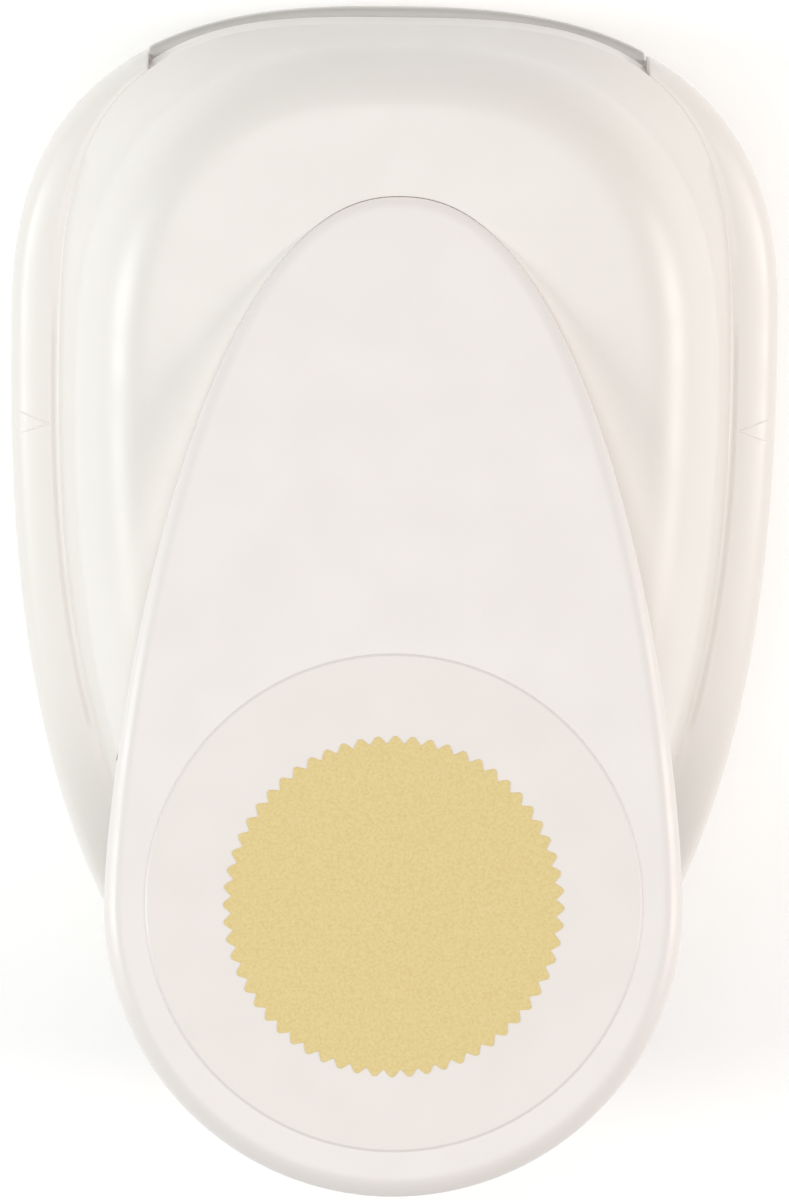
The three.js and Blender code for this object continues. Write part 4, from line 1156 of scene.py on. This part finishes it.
def makeLip():
    # the casting's front lip closes the throat: it follows the body's front curve, and its top falls to the front
    body, steps, corner = eggs["body"], die["lipSteps"], die["lipCorner"]
    low, high, foot = dieHigh.z - die["lipThickness"], dieHigh.z, die["lipFoot"]
    wide, deep = die["lipEdge"]
    ends = []
    for turn in (0, 22.5, 45, 67.5):
        x = die["lipHalf"] - corner * (1 - cos(radians(turn)))
        ends.append((angleAtSide(body, x), corner * (1 - sin(radians(turn)))))
    start = angleAtSide(body, die["lipHalf"] - corner)
    stops = ends + [(start + (pi - 2 * start) * i / steps, 0.0) for i in range(steps + 1)]
    stops += [(pi - angle, extra) for angle, extra in reversed(ends)]
    sections = []
    for angle, extra in stops:
        flat = eggPoint(body, angle)
        along = (eggPoint(body, angle + 0.01) - eggPoint(body, angle - 0.01)).normalized()
        profile = [(foot, low), (foot / 4, low + foot / 4), (0, low + foot)]
        for turn in (0, 15, 30, 45, 60, 75, 90):
            profile.append((wide * (1 - cos(radians(turn))), high - deep * (1 - sin(radians(turn)))))
        ring = [Vector((flat.x, flat.y + (extra + inset) / along.x, z)) for inset, z in profile]
        ring += [Vector((flat.x, dieHigh.y - die["lipBack"], z)) for z in (high, low)]
        sections.append(ring)
    return skinRings("throat_lip", sections, zincCasting, sharp=40)


settle(makeDiePlate(), "housing", "cast_zinc", "die_block")
settle(makeLip(), "housing", "cast_zinc", "die_block")

cutter = {"clearance": 0.3, "height": 7.0, "edge": 0.3, "neckInset": 4.0, "neckEdge": 0.6, "overlap": 1.0}


def makePunch():
    place = Matrix.Translation((0, punchY, punchLow.z))
    across = teeth["across"] - 2 * cutter["clearance"]
    return makeToothed("punch_cutter", across, cutter["height"], cutter["edge"], groundSteel, place)


def makePunchNeck():
    radius = teeth["across"] / 2 - cutter["neckInset"]
    profile = pinProfile(radius, punchLow.z + cutter["height"] - cutter["overlap"], punchHigh.z, cutter["neckEdge"])
    return lathe("punch_neck", profile, groundSteel, 96, Matrix.Translation((0, punchY, 0)))


settle(makePunch(), "punch", "bright_steel", "punch")
settle(makePunchNeck(), "punch", "bright_steel", "punch")

coil = {"reach": 31.2, "angle": 50.0, "across": 6.4, "wire": 0.7, "turns": 5.0, "pocket": 1.0, "gap": 0.3,
        "frameTop": 4.0, "stepsPerTurn": 32, "wireSides": 10}
carrier = {"radius": 21.0, "earRadius": 4.3, "thickness": 3.0, "edge": 0.35, "around": 720, "filletWindow": 19,
           "anvilHalf": 5.8, "anvilDepth": 7.0, "anvilEdge": 0.5, "anvilOverlap": 2.0}


def springPlaces():
    turn, reach = radians(coil["angle"]), coil["reach"]
    return [(side * reach * cos(turn), punchY + end * reach * sin(turn)) for side in (-1, 1) for end in (-1, 1)]


def makeCarrier():
    # a round steel plate with four ears over the springs, filleted where ear meets plate
    around, ear = carrier["around"], carrier["earRadius"]
    turns = [2 * pi * i / around for i in range(around)]
    radii = []
    for angle in turns:
        radius = carrier["radius"]
        for x, y in springPlaces():
            reach = hypot(x, y - punchY)
            off = (angle - atan2(y - punchY, x) + pi) % (2 * pi) - pi
            if abs(off) < pi / 2 and abs(reach * sin(off)) < ear:
                radius = max(radius, reach * cos(off) + sqrt(ear ** 2 - (reach * sin(off)) ** 2))
        radii.append(radius)
    window = np.hanning(carrier["filletWindow"])
    soft = np.convolve(radii + radii + radii, window / window.sum(), "same")[around:2 * around]
    outline = [(radius * cos(angle), punchY + radius * sin(angle)) for radius, angle in zip(soft, turns)]
    low, high = carrierLow.z, carrierLow.z + carrier["thickness"]
    plate = plateOf("carrier_plate", outline, low, high, carrier["edge"], platedSteel)
    half, deep = carrier["anvilHalf"], carrier["anvilDepth"]
    anvil = plateOf("anvil", boxOutline(-half, punchY - deep, half, punchY + deep), high - carrier["anvilOverlap"],
                    carrierHigh.z, carrier["anvilEdge"], platedSteel)
    return cutWith(plate, [anvil], "UNION", sharp=30)


settle(makeCarrier(), "punch", "dark_steel", "punch_carrier")


def coilTree():
    # round-wire springs, one on each point, of a spiral swept by a circle
    tree, given = newTree("return springs", {
        "Turns": "Float", "Steps per turn": "Int", "Coil radius": "Float", "Wire radius": "Float",
        "Wire sides": "Int", "Height": "Float"})
    spiral = addNode(tree, "GeometryNodeCurveSpiral", inputs={
        "Resolution": given["Steps per turn"], "Rotations": given["Turns"], "Start Radius": given["Coil radius"],
        "End Radius": given["Coil radius"], "Height": given["Height"]})
    wire = addNode(tree, "GeometryNodeCurvePrimitiveCircle", inputs={
        "Resolution": given["Wire sides"], "Radius": given["Wire radius"]})
    swept = addNode(tree, "GeometryNodeCurveToMesh", inputs={
        "Curve": spiral.outputs[0], "Profile Curve": wire.outputs[0], "Fill Caps": True})
    points = addNode(tree, "GeometryNodeMeshToPoints", inputs={"Mesh": given["Geometry"]})
    copies = addNode(tree, "GeometryNodeInstanceOnPoints", inputs={
        "Points": points.outputs[0], "Instance": swept.outputs[0]})
    dress(tree, copies.outputs[0], given["Finish"])
    return tree


def makeSprings():
    wire, inPocket = coil["wire"] / 2, coil["pocket"] - coil["gap"]
    low = frameLow.z + coil["frameTop"] - inPocket + wire
    high = carrierLow.z + inPocket - wire
    springs = grow("return_coils", coilTree(), {
        "Turns": coil["turns"], "Steps per turn": coil["stepsPerTurn"],
        "Coil radius": (coil["across"] / 2 - wire) * mm, "Wire radius": wire * mm,
        "Wire sides": coil["wireSides"], "Height": (high - low) * mm, "Finish": groundSteel,
    }, [(x, y, low) for x, y in springPlaces()])
    settle(springs, "housing", "bright_steel", *numbered("return_spring", 4))
    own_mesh(springs)


makeSprings()

# ---- screws: one turned and recessed screw of each kind, set on its points by a tree

screws = {
    "housing": {"head": 2.65, "headHeight": 1.9, "shank": 1.5, "length": 13.0},
    "die": {"head": 2.65, "headHeight": 1.15, "shank": 1.5, "length": 15.0},
    "punch": {"head": 2.65, "headHeight": 1.9, "shank": 1.5, "length": 6.8},
    "lever": {"head": 2.15, "headHeight": 1.5, "shank": 1.2, "length": 3.8},
}
screwTurning = {"tip": 0.8, "tipShare": 0.6, "rimEdge": 0.15, "rimShare": 0.45, "crownShare": 0.2}
recess = {"reachShare": 0.55, "halfShare": 0.12, "depthShare": 0.7, "over": 1.0}


def makeScrewModel(kind):
    # head up, seat at the origin, with a cross recess
    size, tip, rim = screws[kind], screwTurning["tip"], screwTurning["rimEdge"]
    head, tall, shank, length = size["head"], size["headHeight"], size["shank"], size["length"]
    crown, side = screwTurning["crownShare"], screwTurning["rimShare"]
    profile = [(0.0, -length), (shank * screwTurning["tipShare"], -length), (shank, tip - length), (shank, 0.0),
               (head - rim, 0.0), (head, rim), (head, tall * side)]
    for turn in (20, 40, 60, 80):
        profile.append((head * (crown + (1 - crown) * cos(radians(turn))),
                        tall * (side + (1 - side) * sin(radians(turn)))))
    screw = lathe("screw_model", profile + [(0.0, tall)], darkScrewSteel, 40)
    reach, half = head * recess["reachShare"], head * recess["halfShare"]
    cutters = [plateOf("recess", boxOutline(-reach, -half, reach, half), tall * (1 - recess["depthShare"]),
                       tall + recess["over"], cutterEdge, darkScrewSteel, Matrix.Rotation(turn, 4, "Z"))
               for turn in (0, pi / 2)]
    return cutWith(screw, cutters, sharp=30)


def screwTree():
    # the same screw on every point, each stopped at its own turn, from a fixed seed
    tree, given = newTree("driven screws", {"Screw": "Object", "Head down": "Float", "Seed": "Int"})
    model = addNode(tree, "GeometryNodeObjectInfo", inputs={"Object": given["Screw"], "As Instance": True})
    stop = addNode(tree, "FunctionNodeRandomValue", {"data_type": "FLOAT"}, {"Max": 2 * pi, "Seed": given["Seed"]})
    stopTurn = next(socket for socket in stop.outputs if socket.enabled)
    flip = addNode(tree, "ShaderNodeMath", {"operation": "MULTIPLY"}, {0: given["Head down"], 1: pi})
    turn = addNode(tree, "ShaderNodeCombineXYZ", inputs={"X": flip.outputs[0], "Z": stopTurn})
    points = addNode(tree, "GeometryNodeMeshToPoints", inputs={"Mesh": given["Geometry"]})
    copies = addNode(tree, "GeometryNodeInstanceOnPoints", inputs={
        "Points": points.outputs[0], "Instance": model.outputs["Geometry"], "Rotation": turn.outputs[0]})
    dress(tree, copies.outputs[0], given["Finish"])
    return tree


drivenScrews = screwTree()


def makeScrews(name, kind, places, headDown, finish, seed, place):
    model = makeScrewModel(kind)
    values = {"Screw": model, "Head down": headDown, "Seed": seed, "Finish": finish}
    piece = grow(name, drivenScrews, values, places, place, 30)
    bpy.data.objects.remove(model)
    return piece


screwSeats = {"carrierSide": 12.0, "leverU": [-23.811, -61.055, -85.9], "dieAbove": 0.02}
housingPlaces = [(x, y, base["housingScrewSeat"]) for x, y in screwPlaces("housing")]
diePlaces = [(x, y, base["dieScrewSeat"] + screwSeats["dieAbove"]) for x, y in screwPlaces("die")]
carrierPlaces = [(side * screwSeats["carrierSide"], punchY, carrierLow.z + carrier["thickness"]) for side in (-1, 1)]
leverPlaces = [(0, u, lever["webBottom"]) for u in screwSeats["leverU"]]
for name, kind, places, headDown, finish, seed, place, body, slotName in (
        ("housing_screws", "housing", housingPlaces, 1.0, darkScrewSteel, 4, None, "housing", "dark_steel"),
        ("die_screws", "die", diePlaces, 1.0, darkScrewSteel, 9, None, "housing", "dark_steel"),
        ("carrier_screws", "punch", carrierPlaces, 0.0, groundSteel, 5, None, "punch", "bright_steel"),
        ("arm_screws", "lever", leverPlaces, 1.0, groundSteel, 7, leverPlace, "lever", "bright_steel")):
    piece = makeScrews(name, kind, places, headDown, finish, seed, place)
    settle(piece, body, slotName, *numbered(kind + "_screw", len(places)))

# ---- slot spacer, the upper frame with the uprights that hold the pivot, and the cover's posts

upper = {"inset": 2.5, "plateTop": 18.0, "uprightInside": 9.5, "uprightWidth": 4.0, "uprightOverlap": 1.0,
         "pinHole": 2.3, "pocketRadius": 3.5, "overcut": 1.0, "edge": 0.3}
rails = {"inside": 26.95, "back": 3.0, "edge": 0.12, "steps": 12}
posts = {"hole": 1.35, "holeDepth": 5.0, "draft": 0.1, "overlap": 0.4}


def makeSpacer():
    # a flat U: rails on both sides of the card's slot, joined behind by its stop
    body, side, back, inside = eggs["body"], die["side"], dieLow.y, rails["inside"]
    right = []
    for i in range(rails["steps"] + 1):
        x = side + (inside - side) * i / rails["steps"]
        right.append((x, eggPoint(body, angleAtSide(body, x, die["inset"]), die["inset"]).y))
    stop = back + rails["back"]
    outline = [(-side, back), (side, back)] + right + [(inside, stop), (-inside, stop)]
    outline += [(-x, y) for x, y in reversed(right)]
    return plateOf("slot_rails", outline, dieHigh.z, frameLow.z, rails["edge"], groundSteel)


def makeUpperFrame():
    reach = castOutline(eggs["foot"], upper["inset"])
    low, high, edge = frameLow.z, upper["plateTop"], upper["edge"]
    rings = castingRings(reach, low, high, edge) + [ringAt(low + edge, toothedBy(0.0)), ringAt(low, toothedBy(edge))]
    plate = skinRings("upper_frame_casting", rings, zincCasting, loop=True, sharp=30)
    boss, foot = lever["bossRadius"], high - upper["uprightOverlap"]
    outline = [(pivotY - boss, foot), (pivotY + boss, foot)] + arcPoints(boss, 0, pi, 32, (pivotY, pivotZ))
    inside, outside = upper["uprightInside"], upper["uprightInside"] + upper["uprightWidth"]
    uprights = [plateOf("upright", outline, near, far, edge, zincCasting, sideways)
                for near, far in ((-outside, -inside), (inside, outside))]
    cutWith(plate, uprights, "UNION", sharp=30)
    floor, over, radius = high - coil["pocket"], high + upper["overcut"], upper["pocketRadius"]
    profile = [(0.0, floor), (radius, floor), (radius, over), (0.0, over)]
    holes = [crossPin("pin_hole", upper["pinHole"], frameHigh.x, pivotY, pivotZ, zincCasting)]
    holes += lathesAt(springPlaces(), profile, zincCasting)
    return cutWith(plate, holes, sharp=30)


def makeCoverPosts():
    # four posts stand inside the cover over the tray's, for the screws that hold the housing together
    hole, radius = posts["hole"], base["postRadius"]
    bottom, top = coverFoot + posts["holeDepth"], ledgeZ + posts["overlap"]
    profile = [(0.0, bottom), (hole, bottom), (hole, coverFoot), (radius, coverFoot),
               (radius + posts["draft"], top), (0.0, top)]
    return joinAll("cover_posts", lathesAt(screwPlaces("housing"), profile, whiteShell))


settle(makeSpacer(), "housing", "bright_steel", "slot_spacer")
settle(makeUpperFrame(), "housing", "cast_zinc", "upper_frame")
settle(makeCoverPosts(), "housing", "white_plastic", "top_cover")

print("stage: inner pieces made")
